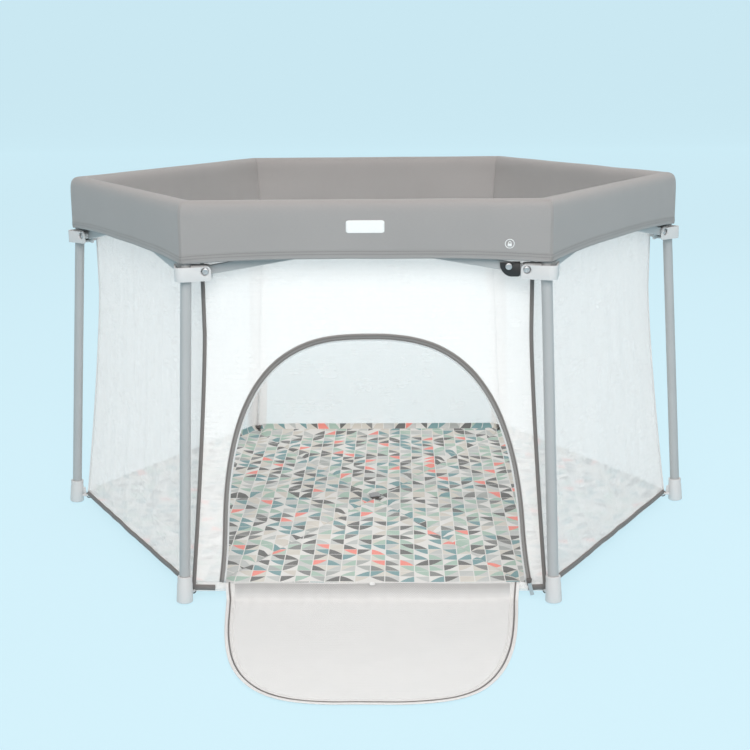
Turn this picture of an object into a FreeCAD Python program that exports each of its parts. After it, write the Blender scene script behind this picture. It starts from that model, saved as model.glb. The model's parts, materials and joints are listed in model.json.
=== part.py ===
"""Travel play yard: a hexagonal scissor frame on six legs, with a fabric rim, mesh walls and a padded floor.

Units are millimetres and +Z is up. The origin is the centre of the yard on the floor that it stands on,
and the door side faces -Y. The frame is open and locked, and the door flap lies on the floor outside.

Each corner has a top bracket fixed to the leg and a lower bracket that slides down the leg. Each side has
two crossed links with a rivet in the middle, and folding the frame turns every link by the same angle.
"""

import FreeCAD
import Part
import math
import os

V = FreeCAD.Vector
UP = V(0, 0, 1)

CORNERS = ["right", "rear_right", "rear_left", "left", "front_left", "front_right"]
SIDES = ["right_rear", "rear", "left_rear", "left_front", "front", "right_front"]
FRONT = SIDES.index("front")

# Frame layout
PIVOT_RING = 600.0  # corner axes lie on this radius, which is also the side of their hexagon
TOP_PIVOT_Z = 676.0
LOW_PIVOT_Z = 583.0
PIVOT_REACH = 30.0  # from a corner axis to the pivots beside it
LEG_SPLAY = 4.0  # degrees, feet outwards

# Links, in two layers each side of the plane through the corner axes
LINK_WIDTH = 16.0
LINK_THICKNESS = 6.0
LINK_WALL = 1.2
LAYER_OFFSET = 3.8
LINK_EDGE = 1.6
PIN_RADIUS = 3.0
RUNNING_GAP = 0.06
PRESS_GAP = 0.02

# Legs and feet
TUBE_RADIUS = 9.5
TUBE_WALL = 1.2
TUBE_TOP_Z = 684.0
FOOT_RADIUS = 14.5
FOOT_HEIGHT = 48.0
FOOT_SOCKET = 34.0
ARM_LENGTH = 10.0
ARM_WIDTH = 12.0
ARM_Z = 15.0
ARM_THICKNESS = 5.0
EYE_FROM_TIP = 5.0
EYE_RADIUS = 2.5
LOOP_RADIUS = 6.0
LOOP_CORD = 1.2

# Brackets
EAR_RADIUS = 10.0
PLATE_INNER = 7.6  # the ear plates run from here out to PLATE_OUTER, both sides of the corner plane
PLATE_OUTER = 10.1
BOSS_RADIUS = 6.5
BOSS_GAP = 0.3
CAP_LOW_Z = 687.0
CAP_HIGH_Z = 692.0
CAP_RADIUS = 12.6
CHEEK_THICKNESS = 3.0
CHEEK_GAP = 0.4
SLOT_INNER_X = 4.2  # the leg's centre moves between these two points of the guide as the frame folds
SLOT_OUTER_X = 17.0
SLOT_GAP = 0.35
GUIDE_WALL = 3.0
BRACKET_LOW_Z = 567.0
BRACKET_HIGH_Z = 588.0
EAR_HIGH_Z = 593.0
EAR_CORNER = 5.0
COWL_HIGH_Z = 591.0
COWL_WALL = 2.4
HEAD_RADIUS = 6.0
HEAD_HEIGHT = 1.8

# Fabric
CLOTH = 2.0
RIM_LOW_Z = 596.0
RIM_HIGH_Z = 700.0
RIM_OUTER = 17.0  # outwards from the corner plane
RIM_INNER = -20.0
WALL_LOW_Z = 12.0
WALL_HIGH_Z = 640.0
WALL_LOW_RING = 619.0
WALL_HIGH_RING = 566.0
WALL_END_GAP = 3.0
FLOOR_RING = 614.0
FLOOR_THICKNESS = 8.0
FLOOR_GAP = 0.6
DOOR_WIDTH = 536.0
DOOR_HEIGHT = 448.0
DOOR_POWER = 0.71  # 1 makes the arch an ellipse, and 0 a box
DOOR_SILL = 26.0
DOOR_GAP = 3.0
DOOR_HINGE_Z = 15.0
ZIP_ASIDE = 14.0
FLAP_TIP_Z = 0.4
TAB_SIZE = 22.0
PATCH_RADIUS = 9.0

# Latch
LATCH_FROM_PIN = 31.0
LATCH_DROP = 17.0
LATCH_LENGTH = 34.0
LATCH_PLATE = 2.6
LATCH_GAP = 0.5
LATCH_SWING = 20.0

SPAN = PIVOT_RING - 2 * PIVOT_REACH
DROP = TOP_PIVOT_Z - LOW_PIVOT_Z
LINK_LENGTH = math.hypot(SPAN, DROP)
LINK_SLOPE = math.degrees(math.atan2(DROP, SPAN))
COS30 = math.cos(math.radians(30))


def rotated(shape, degrees, axis=UP, centre=V(0, 0, 0)):
    """A copy of shape turned about an axis."""
    copy = shape.copy()
    copy.rotate(centre, axis, degrees)
    return copy


def moved(shape, x=0.0, y=0.0, z=0.0):
    """A copy of shape moved by a distance."""
    copy = shape.copy()
    copy.translate(V(x, y, z))
    return copy


def box(x0, x1, y0, y1, z0, z1):
    """A box between two corners, given in any order."""
    x0, x1 = sorted((x0, x1))
    y0, y1 = sorted((y0, y1))
    z0, z1 = sorted((z0, z1))
    return Part.makeBox(x1 - x0, y1 - y0, z1 - z0, V(x0, y0, z0))


def rod(radius, y0, y1, x, z):
    """A cylinder along Y."""
    y0, y1 = sorted((y0, y1))
    return Part.makeCylinder(radius, y1 - y0, V(x, y0, z), V(0, 1, 0))


def slab(points, direction):
    """A flat outline swept along a direction."""
    return Part.Face(Part.makePolygon(points + points[:1])).extrude(direction)


def stadium(length, radius):
    """A flat stadium face in XZ with its two end centres at the origin and at (length, 0, 0)."""
    top = Part.LineSegment(V(0, 0, radius), V(length, 0, radius))
    right = Part.Arc(V(length, 0, radius), V(length + radius, 0, 0), V(length, 0, -radius))
    bottom = Part.LineSegment(V(length, 0, -radius), V(0, 0, -radius))
    left = Part.Arc(V(0, 0, -radius), V(-radius, 0, 0), V(0, 0, radius))
    return Part.Face(Part.Wire([g.toShape() for g in (top, right, bottom, left)]))


def at_corner(shape, corner):
    """From a corner's own frame (X outwards, Y anticlockwise, origin on its axis) to the yard's."""
    return rotated(moved(shape, PIVOT_RING), 60.0 * corner)


def at_side(shape, side):
    """From a side's own frame (X from its first corner to its second, -Y outwards) to the yard's."""
    turn = 60.0 * side
    start = V(PIVOT_RING * math.cos(math.radians(turn)), PIVOT_RING * math.sin(math.radians(turn)), 0)
    return moved(rotated(shape, turn + 120.0), start.x, start.y)


def to_ear(shape, sign):
    """From an ear's frame (X along the side, origin on the corner axis) to the corner's frame."""
    return rotated(shape, 120.0 * sign)


def outwards(sign, n):
    """The ear frame's Y for a distance n outwards from the corner plane."""
    return -sign * n


def round_plate(sign, n0, n1, z_pivot, z_high, start):
    """One plate of an ear: square towards the corner, round about the pivot, and squared up to a cap."""
    y0, y1 = outwards(sign, n0), outwards(sign, n1)
    plate = box(start, PIVOT_REACH, y0, y1, z_pivot - EAR_RADIUS, z_high)
    plate = plate.fuse(rod(EAR_RADIUS, y0, y1, PIVOT_REACH, z_pivot))
    if z_high > z_pivot + EAR_RADIUS:
        plate = plate.fuse(box(PIVOT_REACH, PIVOT_REACH + EAR_RADIUS, y0, y1, z_pivot, z_high))
    return plate


def ear(sign, link_layer, z_pivot, z_low, z_high, start):
    """Two plates and the boss that holds the link in its layer, drilled for the pin."""
    plates = [
        round_plate(sign, PLATE_INNER, PLATE_OUTER, z_pivot, z_high, start),
        round_plate(sign, -PLATE_INNER, -PLATE_OUTER, z_pivot, z_high, start),
    ]
    near = link_layer + math.copysign(LINK_THICKNESS / 2 + BOSS_GAP, -link_layer)
    wall = math.copysign(PLATE_INNER, -link_layer)
    boss = rod(BOSS_RADIUS, outwards(sign, near), outwards(sign, wall), PIVOT_REACH, z_pivot)
    made = plates[0].fuse([plates[1], boss])
    if z_low < z_pivot - EAR_RADIUS:
        tip, corner_z = PIVOT_REACH + EAR_RADIUS, z_low + EAR_CORNER
        for s in (1, -1):
            y0, y1 = outwards(sign, s * PLATE_INNER), outwards(sign, s * PLATE_OUTER)
            made = made.fuse([
                box(start, tip - EAR_CORNER, y0, y1, z_low, z_pivot),
                box(start, tip, y0, y1, corner_z, z_pivot),
                rod(EAR_CORNER, y0, y1, tip - EAR_CORNER, corner_z),
            ])
    drill = rod(PIN_RADIUS + PRESS_GAP, -PLATE_OUTER - 1, PLATE_OUTER + 1, PIVOT_REACH, z_pivot)
    return to_ear(made.cut(drill), sign)


def pin(sign, z_pivot):
    """A headed pin through an ear, in the corner's frame."""
    shank = rod(PIN_RADIUS, -PLATE_OUTER, PLATE_OUTER, PIVOT_REACH, z_pivot)
    outer = rod(HEAD_RADIUS, outwards(sign, PLATE_OUTER), outwards(sign, PLATE_OUTER + HEAD_HEIGHT),
                PIVOT_REACH, z_pivot)
    crown = [e for e in outer.Edges if abs(abs(e.CenterOfMass.y) - PLATE_OUTER - HEAD_HEIGHT) < 0.01]
    outer = outer.makeFillet(0.45 * HEAD_HEIGHT, crown)
    inner = rod(HEAD_RADIUS - 0.8, outwards(sign, -PLATE_OUTER),
                outwards(sign, -PLATE_OUTER - HEAD_HEIGHT), PIVOT_REACH, z_pivot)
    return to_ear(shank.fuse([outer, inner]), sign)


def top_bracket():
    """The bracket on a leg's upper end, with the leg's cross pin and the two link pins."""
    cheek_in = TUBE_RADIUS + CHEEK_GAP
    cheek_out = cheek_in + CHEEK_THICKNESS
    cheek_low = TOP_PIVOT_Z - EAR_RADIUS
    cheeks = [box(-9, 7, s * cheek_in, s * cheek_out, cheek_low, CAP_HIGH_Z) for s in (1, -1)]
    ears = [
        ear(1, LAYER_OFFSET, TOP_PIVOT_Z, cheek_low, CAP_HIGH_Z, 14.0),
        ear(-1, -LAYER_OFFSET, TOP_PIVOT_Z, cheek_low, CAP_HIGH_Z, 14.0),
    ]
    arms = [to_ear(box(0, PIVOT_REACH + EAR_RADIUS, -PLATE_OUTER, PLATE_OUTER, CAP_LOW_Z, CAP_HIGH_Z), s)
            for s in (1, -1)]
    nose = Part.makeCylinder(CAP_RADIUS, CAP_HIGH_Z - CAP_LOW_Z, V(0, 0, CAP_LOW_Z))
    body = cheeks[0].fuse([cheeks[1], *ears, *arms, nose]).removeSplitter()
    body = body.cut(rod(PIN_RADIUS + PRESS_GAP, -20, 20, 0, TOP_PIVOT_Z))
    cross = rod(PIN_RADIUS, -cheek_out, cheek_out, 0, TOP_PIVOT_Z)
    caps = [rod(HEAD_RADIUS - 1, s * cheek_out, s * (cheek_out + 1.2), 0, TOP_PIVOT_Z) for s in (1, -1)]
    return Part.makeCompound([body, cross.fuse(caps), pin(1, TOP_PIVOT_Z), pin(-1, TOP_PIVOT_Z)])


def guide_outline(radius, low, high):
    """A stadium prism round the leg's path through the lower bracket."""
    face = stadium(SLOT_OUTER_X - SLOT_INNER_X, radius)
    prism = rotated(face, 90, V(1, 0, 0)).extrude(V(0, 0, high - low))
    return moved(prism, SLOT_INNER_X, 0, low)


def cowl_plan(depth):
    """The plan of the sliding bracket's front, that far under its surface, closed behind the guide."""
    nose, radius = V(SLOT_OUTER_X, 0, 0), TUBE_RADIUS + SLOT_GAP + GUIDE_WALL
    tip = FreeCAD.Rotation(UP, 120).multVec(V(PIVOT_REACH + EAR_RADIUS, -PLATE_OUTER, 0))
    away = tip - nose
    angle = math.atan2(away.y, away.x) - math.acos(radius / away.Length)
    normal = V(math.cos(angle), math.sin(angle), 0)
    tip, touch = tip - normal * depth, nose + normal * (radius - depth)
    tip_2, touch_2 = V(tip.x, -tip.y, 0), V(touch.x, -touch.y, 0)
    outline = [
        Part.LineSegment(tip, touch),
        Part.Arc(touch, nose + V(radius - depth, 0, 0), touch_2),
        Part.LineSegment(touch_2, tip_2),
        Part.LineSegment(tip_2, tip),
    ]
    return Part.Face(Part.Wire([g.toShape() for g in outline]))


def cowl():
    """The smooth front of the sliding bracket, from one ear's end round the guide to the other's."""
    rise = V(0, 0, COWL_HIGH_Z - BRACKET_LOW_Z)
    shell = cowl_plan(0).extrude(rise).cut(cowl_plan(COWL_WALL).extrude(rise))
    shell = moved(shell, 0, 0, BRACKET_LOW_Z)
    tip, corner_z = PIVOT_REACH + EAR_RADIUS, BRACKET_LOW_Z + EAR_CORNER
    for sign in (1, -1):
        y0, y1 = outwards(sign, PLATE_INNER - 4), outwards(sign, PLATE_OUTER + 16)
        foot = box(tip - EAR_CORNER, tip + 9, y0, y1, BRACKET_LOW_Z - 1, corner_z)
        foot = foot.cut(rod(EAR_CORNER, y0, y1, tip - EAR_CORNER, corner_z))
        head = box(PIVOT_REACH, tip + 9, y0, y1, LOW_PIVOT_Z, EAR_HIGH_Z)
        head = head.cut(rod(EAR_RADIUS, y0, y1, PIVOT_REACH, LOW_PIVOT_Z))
        recess = rod(HEAD_RADIUS + 1, outwards(sign, PLATE_OUTER), y1, PIVOT_REACH, LOW_PIVOT_Z)
        shell = shell.cut([to_ear(tool, sign) for tool in (foot, head, recess)])
    return shell


def lower_bracket():
    """The sliding bracket: a guide round the leg, an ear to each side and a smooth front."""
    guide = guide_outline(TUBE_RADIUS + SLOT_GAP + GUIDE_WALL, BRACKET_LOW_Z, BRACKET_HIGH_Z)
    ears = [
        ear(1, -LAYER_OFFSET, LOW_PIVOT_Z, BRACKET_LOW_Z, EAR_HIGH_Z, 6.0),
        ear(-1, LAYER_OFFSET, LOW_PIVOT_Z, BRACKET_LOW_Z, EAR_HIGH_Z, 6.0),
    ]
    webs = [to_ear(box(0, 17, -PLATE_OUTER, PLATE_OUTER, BRACKET_LOW_Z, BRACKET_LOW_Z + 4), s)
            for s in (1, -1)]
    body = guide.fuse([*ears, *webs, cowl()]).removeSplitter()
    void = guide_outline(TUBE_RADIUS + SLOT_GAP, BRACKET_LOW_Z - 20, EAR_HIGH_Z + 20)
    return body.cut(void)


def lower_pins():
    """The two bolts that carry the links on a lower bracket."""
    return Part.makeCompound([pin(1, LOW_PIVOT_Z), pin(-1, LOW_PIVOT_Z)])


def splayed(shape):
    """Leans a part of an upright leg outwards about the cross pin."""
    return rotated(shape, -LEG_SPLAY, V(0, 1, 0), V(0, 0, TOP_PIVOT_Z))


def leg_tube():
    """The round leg, drilled for the cross pin, in the corner's frame."""
    low = FOOT_HEIGHT - FOOT_SOCKET
    outer = Part.makeCylinder(TUBE_RADIUS, TUBE_TOP_Z - low, V(0, 0, low))
    inner = Part.makeCylinder(TUBE_RADIUS - TUBE_WALL, TUBE_TOP_Z - low, V(0, 0, low))
    drill = rod(PIN_RADIUS + RUNNING_GAP, -20, 20, 0, TOP_PIVOT_Z)
    return splayed(outer.cut([inner, drill]))


def foot():
    """The moulded foot, a socket for the leg with an eyed arm, and the cord loop to the fabric's corner."""
    below = 6.0
    body = Part.makeCylinder(FOOT_RADIUS, FOOT_HEIGHT + below, V(0, 0, -below))
    rim = [e for e in body.Edges if abs(e.CenterOfMass.z - FOOT_HEIGHT) < 0.01]
    body = body.makeFillet(1.5, rim)
    tip_x = -FOOT_RADIUS - ARM_LENGTH
    arm = box(tip_x, 0, -ARM_WIDTH / 2, ARM_WIDTH / 2, ARM_Z - ARM_THICKNESS / 2, ARM_Z + ARM_THICKNESS / 2)
    tip = [e for e in arm.Edges if abs(e.CenterOfMass.x - tip_x) < 0.01 and e.Length < ARM_THICKNESS + 0.01]
    arm = arm.makeFillet(3.0, tip)
    whole = splayed(body.fuse(arm))
    whole = whole.cut(box(-200, 200, -100, 100, -100, 0))
    bottom = [e for e in whole.Edges if abs(e.BoundBox.ZMax) < 1e-6]
    whole = whole.makeChamfer(3.0, bottom)
    eye_x = tip_x + EYE_FROM_TIP
    eye = Part.makeCylinder(EYE_RADIUS, 40, V(eye_x, 0, ARM_Z - 20))
    socket = Part.makeCylinder(TUBE_RADIUS + PRESS_GAP, FOOT_HEIGHT, V(0, 0, FOOT_HEIGHT - FOOT_SOCKET))
    loop = Part.makeTorus(LOOP_RADIUS, LOOP_CORD, V(eye_x - LOOP_RADIUS, 0, ARM_Z), V(0, 1, 0))
    return Part.makeCompound([whole.cut([splayed(eye), splayed(socket)]), splayed(loop)])


def link_bar():
    """A flat tubular link with rounded edges, drilled at its ends and middle, lying along X from the origin."""
    bar = stadium(LINK_LENGTH, LINK_WIDTH / 2).extrude(V(0, LINK_THICKNESS, 0))
    bar = bar.makeFillet(LINK_EDGE, [e for e in bar.Edges if abs(e.Vertexes[0].Y - e.Vertexes[-1].Y) < 0.01])
    holes = [rod(PIN_RADIUS + RUNNING_GAP, -1, LINK_THICKNESS + 1, x, 0)
             for x in (0, LINK_LENGTH / 2, LINK_LENGTH)]
    hollow = box(-20, LINK_LENGTH + 20, LINK_WALL, LINK_THICKNESS - LINK_WALL,
                 LINK_WALL - LINK_WIDTH / 2, LINK_WIDTH / 2 - LINK_WALL)
    return bar.cut([*holes, hollow])


def outer_link():
    """The link from the first corner's top bracket down to the second corner's lower bracket."""
    bar = rotated(link_bar(), LINK_SLOPE, V(0, 1, 0))
    return moved(bar, PIVOT_REACH, -LAYER_OFFSET - LINK_THICKNESS / 2, TOP_PIVOT_Z)


def inner_link():
    """The link from the first corner's lower bracket up to the second corner's top bracket."""
    bar = rotated(link_bar(), -LINK_SLOPE, V(0, 1, 0))
    return moved(bar, PIVOT_REACH, LAYER_OFFSET - LINK_THICKNESS / 2, LOW_PIVOT_Z)


def centre_rivet():
    """The rivet through two crossed links, with a collar between them."""
    x, z = PIVOT_RING / 2, (TOP_PIVOT_Z + LOW_PIVOT_Z) / 2
    face = LAYER_OFFSET + LINK_THICKNESS / 2 + 0.1
    shank = rod(PIN_RADIUS, -face, face, x, z)
    heads = [rod(HEAD_RADIUS, s * face, s * (face + 2), x, z) for s in (1, -1)]
    collar = rod(HEAD_RADIUS - 1, -0.7, 0.7, x, z)
    return shank.fuse([*heads, collar])


def latch_hub():
    """The latch screw's place on the front outer link, in the side's frame."""
    slope = math.radians(LINK_SLOPE)
    end_x = PIVOT_REACH + SPAN
    return V(end_x - LATCH_FROM_PIN * math.cos(slope), 0, LOW_PIVOT_Z + LATCH_FROM_PIN * math.sin(slope))


def latch_faces():
    """The Y of the front face, the channel's two walls and the back face of the latch lever."""
    front = -LAYER_OFFSET - LINK_THICKNESS / 2 - LATCH_GAP
    back = -LAYER_OFFSET + LINK_THICKNESS / 2 + LATCH_GAP
    return front - LATCH_PLATE, front, back, back + LATCH_PLATE


def latch_lever():
    """The lock lever that straddles the front outer link beside the right lower bracket."""
    hub = latch_hub()
    face_y, front, back, rear_y = latch_faces()
    right = PIVOT_REACH + SPAN - EAR_RADIUS - 1.0
    left = right - LATCH_LENGTH
    top, low = LOW_PIVOT_Z + 12.0, LOW_PIVOT_Z - LATCH_DROP + 5.0
    heel = V(right - 4.0, 0, low)
    outline = [
        Part.LineSegment(V(right, 0, top), V(right, 0, low + 4.0)),
        Part.Arc(V(right, 0, low + 4.0), V(right - 1.2, 0, low + 1.2), heel),
        Part.LineSegment(heel, V(left + 18.0, 0, low)),
        Part.Arc(V(left + 18.0, 0, low), V(left + 5.0, 0, low + 7.5), V(left, 0, top)),
        Part.LineSegment(V(left, 0, top), V(right, 0, top)),
    ]
    block = moved(Part.Face(Part.Wire([g.toShape() for g in outline])), 0, face_y)
    block = block.extrude(V(0, rear_y - face_y, 0))
    channel = box(-90, 90, front, back, -LINK_WIDTH / 2 - LATCH_GAP, 60)
    tilts = (LINK_SLOPE, LINK_SLOPE - LATCH_SWING)
    channels = [moved(rotated(channel, tilt, V(0, 1, 0)), hub.x, 0, hub.z) for tilt in tilts]
    return block.cut([*channels, rod(PIN_RADIUS + RUNNING_GAP, -30, 30, hub.x, hub.z)])


def latch_screw():
    """The screw that the latch lever turns on."""
    hub = latch_hub()
    face_y, _, _, rear_y = latch_faces()
    shank = rod(PIN_RADIUS - PRESS_GAP, face_y - 0.1, rear_y + 0.1, hub.x, hub.z)
    head = rod(HEAD_RADIUS - 1, face_y - 1.6, face_y - 0.1, hub.x, hub.z)
    tail = rod(HEAD_RADIUS - 1.5, rear_y + 0.1, rear_y + 1.3, hub.x, hub.z)
    return shank.fuse([head, tail])


def latch_hole(link):
    """Drills the front outer link for the latch's screw."""
    hub = latch_hub()
    return link.cut(rod(PIN_RADIUS + RUNNING_GAP, -40, 40, hub.x, hub.z))


def side_point(ring, end, inset, z):
    """A point in a side's frame: on the hexagon of that corner radius, at its first (0) or second (1) end."""
    along = (PIVOT_RING - ring) / 2 + inset
    x = along if end == 0 else PIVOT_RING - along
    return V(x, (PIVOT_RING - ring) * COS30, z)


def rim_panels():
    """The rim cover of one side: outer skirt, top and inner skirt."""
    outer_ring = PIVOT_RING + RIM_OUTER / COS30
    inner_ring = PIVOT_RING + RIM_INNER / COS30
    panels = []
    for ring, low in ((outer_ring, RIM_LOW_Z), (inner_ring + CLOTH / COS30, RIM_LOW_Z)):
        outline = [side_point(ring, 0, 0, low), side_point(ring, 1, 0, low)]
        back = [side_point(ring - CLOTH / COS30, 1, 0, low), side_point(ring - CLOTH / COS30, 0, 0, low)]
        panels.append(slab(outline + back, V(0, 0, RIM_HIGH_Z - CLOTH - low)))
    top = [side_point(outer_ring, 0, 0, RIM_HIGH_Z - CLOTH), side_point(outer_ring, 1, 0, RIM_HIGH_Z - CLOTH),
           side_point(inner_ring, 1, 0, RIM_HIGH_Z - CLOTH), side_point(inner_ring, 0, 0, RIM_HIGH_Z - CLOTH)]
    panels.append(slab(top, V(0, 0, CLOTH)))
    return panels


def wall_panel():
    """One mesh wall in its side's frame, leaning in towards the top."""
    corners = [
        side_point(WALL_LOW_RING, 0, WALL_END_GAP, WALL_LOW_Z),
        side_point(WALL_LOW_RING, 1, WALL_END_GAP, WALL_LOW_Z),
        side_point(WALL_HIGH_RING, 1, WALL_END_GAP, WALL_HIGH_Z),
        side_point(WALL_HIGH_RING, 0, WALL_END_GAP, WALL_HIGH_Z),
    ]
    normal = (corners[1] - corners[0]).cross(corners[3] - corners[0]).normalize()
    return slab(corners, normal * -CLOTH)


def door_outline(gap, sill):
    """The arched door as a flat face in XZ, centred on X, with its sill at the given height."""
    half, rise = DOOR_WIDTH / 2 - gap, DOOR_HEIGHT - gap - sill
    steps = [math.radians(a) for a in (0, 12, 30, 50, 70, 90)]
    arch = [V(half * math.cos(a) ** DOOR_POWER, 0, sill + rise * math.sin(a) ** DOOR_POWER) for a in steps]
    arch += [V(-p.x, 0, p.z) for p in reversed(arch[:-1])]
    curve = Part.BSplineCurve()
    curve.interpolate(arch)
    return Part.Face(Part.Wire([curve.toShape(), Part.LineSegment(arch[-1], arch[0]).toShape()]))


def wall_lean():
    """The angle that the walls lean in towards the top, in degrees."""
    return math.degrees(math.atan2((WALL_LOW_RING - WALL_HIGH_RING) * COS30, WALL_HIGH_Z - WALL_LOW_Z))


def hinge_y():
    """The Y of the door's hinge line, at the foot of the front wall."""
    return -WALL_LOW_RING * COS30


def front_wall():
    """The front wall with its arched doorway."""
    panel = at_side(wall_panel(), FRONT)
    cutter = moved(door_outline(0, DOOR_SILL), 0, -60).extrude(V(0, 120, 0))
    cutter = rotated(cutter, -wall_lean(), V(1, 0, 0))
    return panel.cut(moved(cutter, 0, hinge_y(), WALL_LOW_Z))


def door_flap():
    """The unzipped door, lying outside from the sill down to the floor."""
    reach = DOOR_HEIGHT - DOOR_GAP
    slope = math.degrees(math.asin((DOOR_HINGE_Z - FLAP_TIP_Z) / reach))
    flap = door_outline(DOOR_GAP, DOOR_GAP).extrude(V(0, CLOTH, 0))
    flap = rotated(flap, 90 + slope, V(1, 0, 0))
    return moved(flap, 0, hinge_y() - CLOTH - 0.5, DOOR_HINGE_Z)


def zip_slider():
    """The zip's slider and its hanging pull, at the right foot of the doorway."""
    x = DOOR_WIDTH / 2 + ZIP_ASIDE
    y = hinge_y() - 1.0
    body = box(x - 5, x + 5, y - 5.5, y - 1.0, 24, 37)
    pull = box(x - 3.5, x + 3.5, y - 8.2, y - 6.2, 8, 32)
    window = box(x - 1.8, x + 1.8, y - 12, y, 11, 19)
    bridge = box(x - 1.5, x + 1.5, y - 7.0, y - 5.0, 26, 31)
    return body.fuse([pull, bridge]).cut(window)


def floor_sector():
    """One sixth of the padded floor in a side's frame."""
    apex = V(PIVOT_RING / 2, PIVOT_RING * COS30, 0)
    points = [side_point(FLOOR_RING, 0, 0, 0), side_point(FLOOR_RING, 1, 0, 0), apex]
    middle = (points[0] + points[1] + points[2]) * (1 / 3)
    shrink = 1 - FLOOR_GAP / (FLOOR_RING / (2 * math.sqrt(3)))
    sector = slab([middle + (p - middle) * shrink for p in points], V(0, 0, FLOOR_THICKNESS))
    return sector.cut(moved(Part.makeCylinder(PATCH_RADIUS + FLOOR_GAP, 20), apex.x, apex.y))


def centre_tab():
    """The round patch that joins the floor's creases in the middle, with the square pull tab on it."""
    low = FLOOR_THICKNESS + 0.4
    tab = box(-TAB_SIZE / 2, TAB_SIZE / 2, -TAB_SIZE / 2, TAB_SIZE / 2, low, low + CLOTH)
    return tab.fuse(Part.makeCylinder(PATCH_RADIUS, low + CLOTH / 2))


def export(name, shape):
    """Checks a node's solids and writes its STEP file."""
    solids = shape.Solids
    bad = [s for s in solids if not s.isValid() or s.Volume <= 0]
    if bad or not solids:
        raise ValueError(f"{name} has {len(bad)} bad solids of {len(solids)}")
    whole = solids[0] if len(solids) == 1 else Part.makeCompound(solids)
    whole.exportStep(os.path.join("parts", name + ".step"))


def main():
    """Builds every node."""
    os.makedirs("parts", exist_ok=True)
    top, low, bolts, tube, end = top_bracket(), lower_bracket(), lower_pins(), leg_tube(), foot()
    for i, corner in enumerate(CORNERS):
        export("top_bracket_" + corner, at_corner(top, i))
        export("lower_bracket_" + corner, at_corner(low, i))
        export("lower_bolts_" + corner, at_corner(bolts, i))
        export("leg_tube_" + corner, at_corner(tube, i))
        export("foot_" + corner, at_corner(end, i))
    outer, inner, rivet, sector = outer_link(), inner_link(), centre_rivet(), floor_sector()
    for i, side in enumerate(SIDES):
        export("outer_link_" + side, at_side(latch_hole(outer) if i == FRONT else outer, i))
        export("inner_link_" + side, at_side(Part.makeCompound([inner, rivet]), i))
        export("floor_sector_" + side, at_side(sector, i))
    export("latch_lever", at_side(latch_lever(), FRONT))
    export("latch_screw", at_side(latch_screw(), FRONT))
    export("rim_cover", Part.makeCompound([at_side(p, i) for i in range(6) for p in rim_panels()]))
    export("side_walls", Part.makeCompound([at_side(wall_panel(), i) for i in range(6) if i != FRONT]))
    export("front_wall", front_wall())
    export("door_flap", door_flap())
    export("zip_slider", zip_slider())
    export("centre_tab", centre_tab())


main()
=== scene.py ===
"""Looks of a folding travel play yard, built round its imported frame.

Metres, +Z up, the door side faces -Y. Every side has its own frame: X runs along the side from its first
corner to its second, -Y points out of the yard and the origin is on the first corner's axis.
"""

import json
import logging
import math
from dataclasses import dataclass, field
from enum import Enum
from typing import Callable, Sequence

import bpy
from mathutils import Matrix, Vector, noise

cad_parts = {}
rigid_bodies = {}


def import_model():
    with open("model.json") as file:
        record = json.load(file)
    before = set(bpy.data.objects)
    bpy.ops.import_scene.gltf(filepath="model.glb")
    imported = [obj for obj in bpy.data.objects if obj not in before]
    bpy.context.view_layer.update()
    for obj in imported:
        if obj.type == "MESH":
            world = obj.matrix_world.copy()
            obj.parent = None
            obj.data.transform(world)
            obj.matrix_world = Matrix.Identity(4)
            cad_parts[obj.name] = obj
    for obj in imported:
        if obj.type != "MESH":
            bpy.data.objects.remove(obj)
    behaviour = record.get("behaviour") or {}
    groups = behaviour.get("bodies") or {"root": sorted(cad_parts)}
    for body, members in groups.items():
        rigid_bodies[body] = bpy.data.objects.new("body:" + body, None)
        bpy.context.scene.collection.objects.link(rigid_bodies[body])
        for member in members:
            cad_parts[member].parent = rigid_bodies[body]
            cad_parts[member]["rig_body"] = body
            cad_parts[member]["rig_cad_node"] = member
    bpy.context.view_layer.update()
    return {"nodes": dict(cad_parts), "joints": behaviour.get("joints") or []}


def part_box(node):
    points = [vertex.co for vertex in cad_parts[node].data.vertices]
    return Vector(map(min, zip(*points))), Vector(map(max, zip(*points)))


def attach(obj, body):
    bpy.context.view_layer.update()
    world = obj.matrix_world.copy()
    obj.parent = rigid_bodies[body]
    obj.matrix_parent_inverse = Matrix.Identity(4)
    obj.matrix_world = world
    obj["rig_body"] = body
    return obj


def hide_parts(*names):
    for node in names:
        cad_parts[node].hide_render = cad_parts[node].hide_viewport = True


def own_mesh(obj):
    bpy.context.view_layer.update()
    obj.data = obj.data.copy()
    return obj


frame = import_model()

LOG = logging.getLogger("play_yard")
CORNERS = ("right", "rear_right", "rear_left", "left", "front_left", "front_right")
SIDES = ("right_rear", "rear", "left_rear", "left_front", "front", "right_front")
FRONT = SIDES.index("front")
TAN30 = math.tan(math.radians(30))
COS30 = math.cos(math.radians(30))

Colour = tuple[float, float, float]
Uv = tuple[float, float]
Piece = bpy.types.Object
Material = bpy.types.Material
Node = bpy.types.Node
Socket = bpy.types.NodeSocket


class Slot(str, Enum):
    """The record's material slots, passed along with the modelled pieces."""

    BRACKET = "bracket_plastic"
    STEEL = "steel"
    LATCH = "latch_plastic"
    RIM = "rim_fabric"
    MESH = "mesh_fabric"
    FLOOR = "floor_fabric"
    ZIP = "zip_paint"


def smooth(x: float) -> float:
    """An ease from 0 to 1 as x goes from 0 to 1."""
    x = min(1.0, max(0.0, x))
    return x * x * (3 - 2 * x)


def mix(a: float, b: float, t: float) -> float:
    """The value a share t of the way from a to b."""
    return a + (b - a) * t


def wander(x: float, y: float, z: float, size: float) -> float:
    """Smooth noise from -1 to 1 whose bumps are about size across."""
    return noise.noise(Vector((x, y, z)) / size)


# Materials


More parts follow.
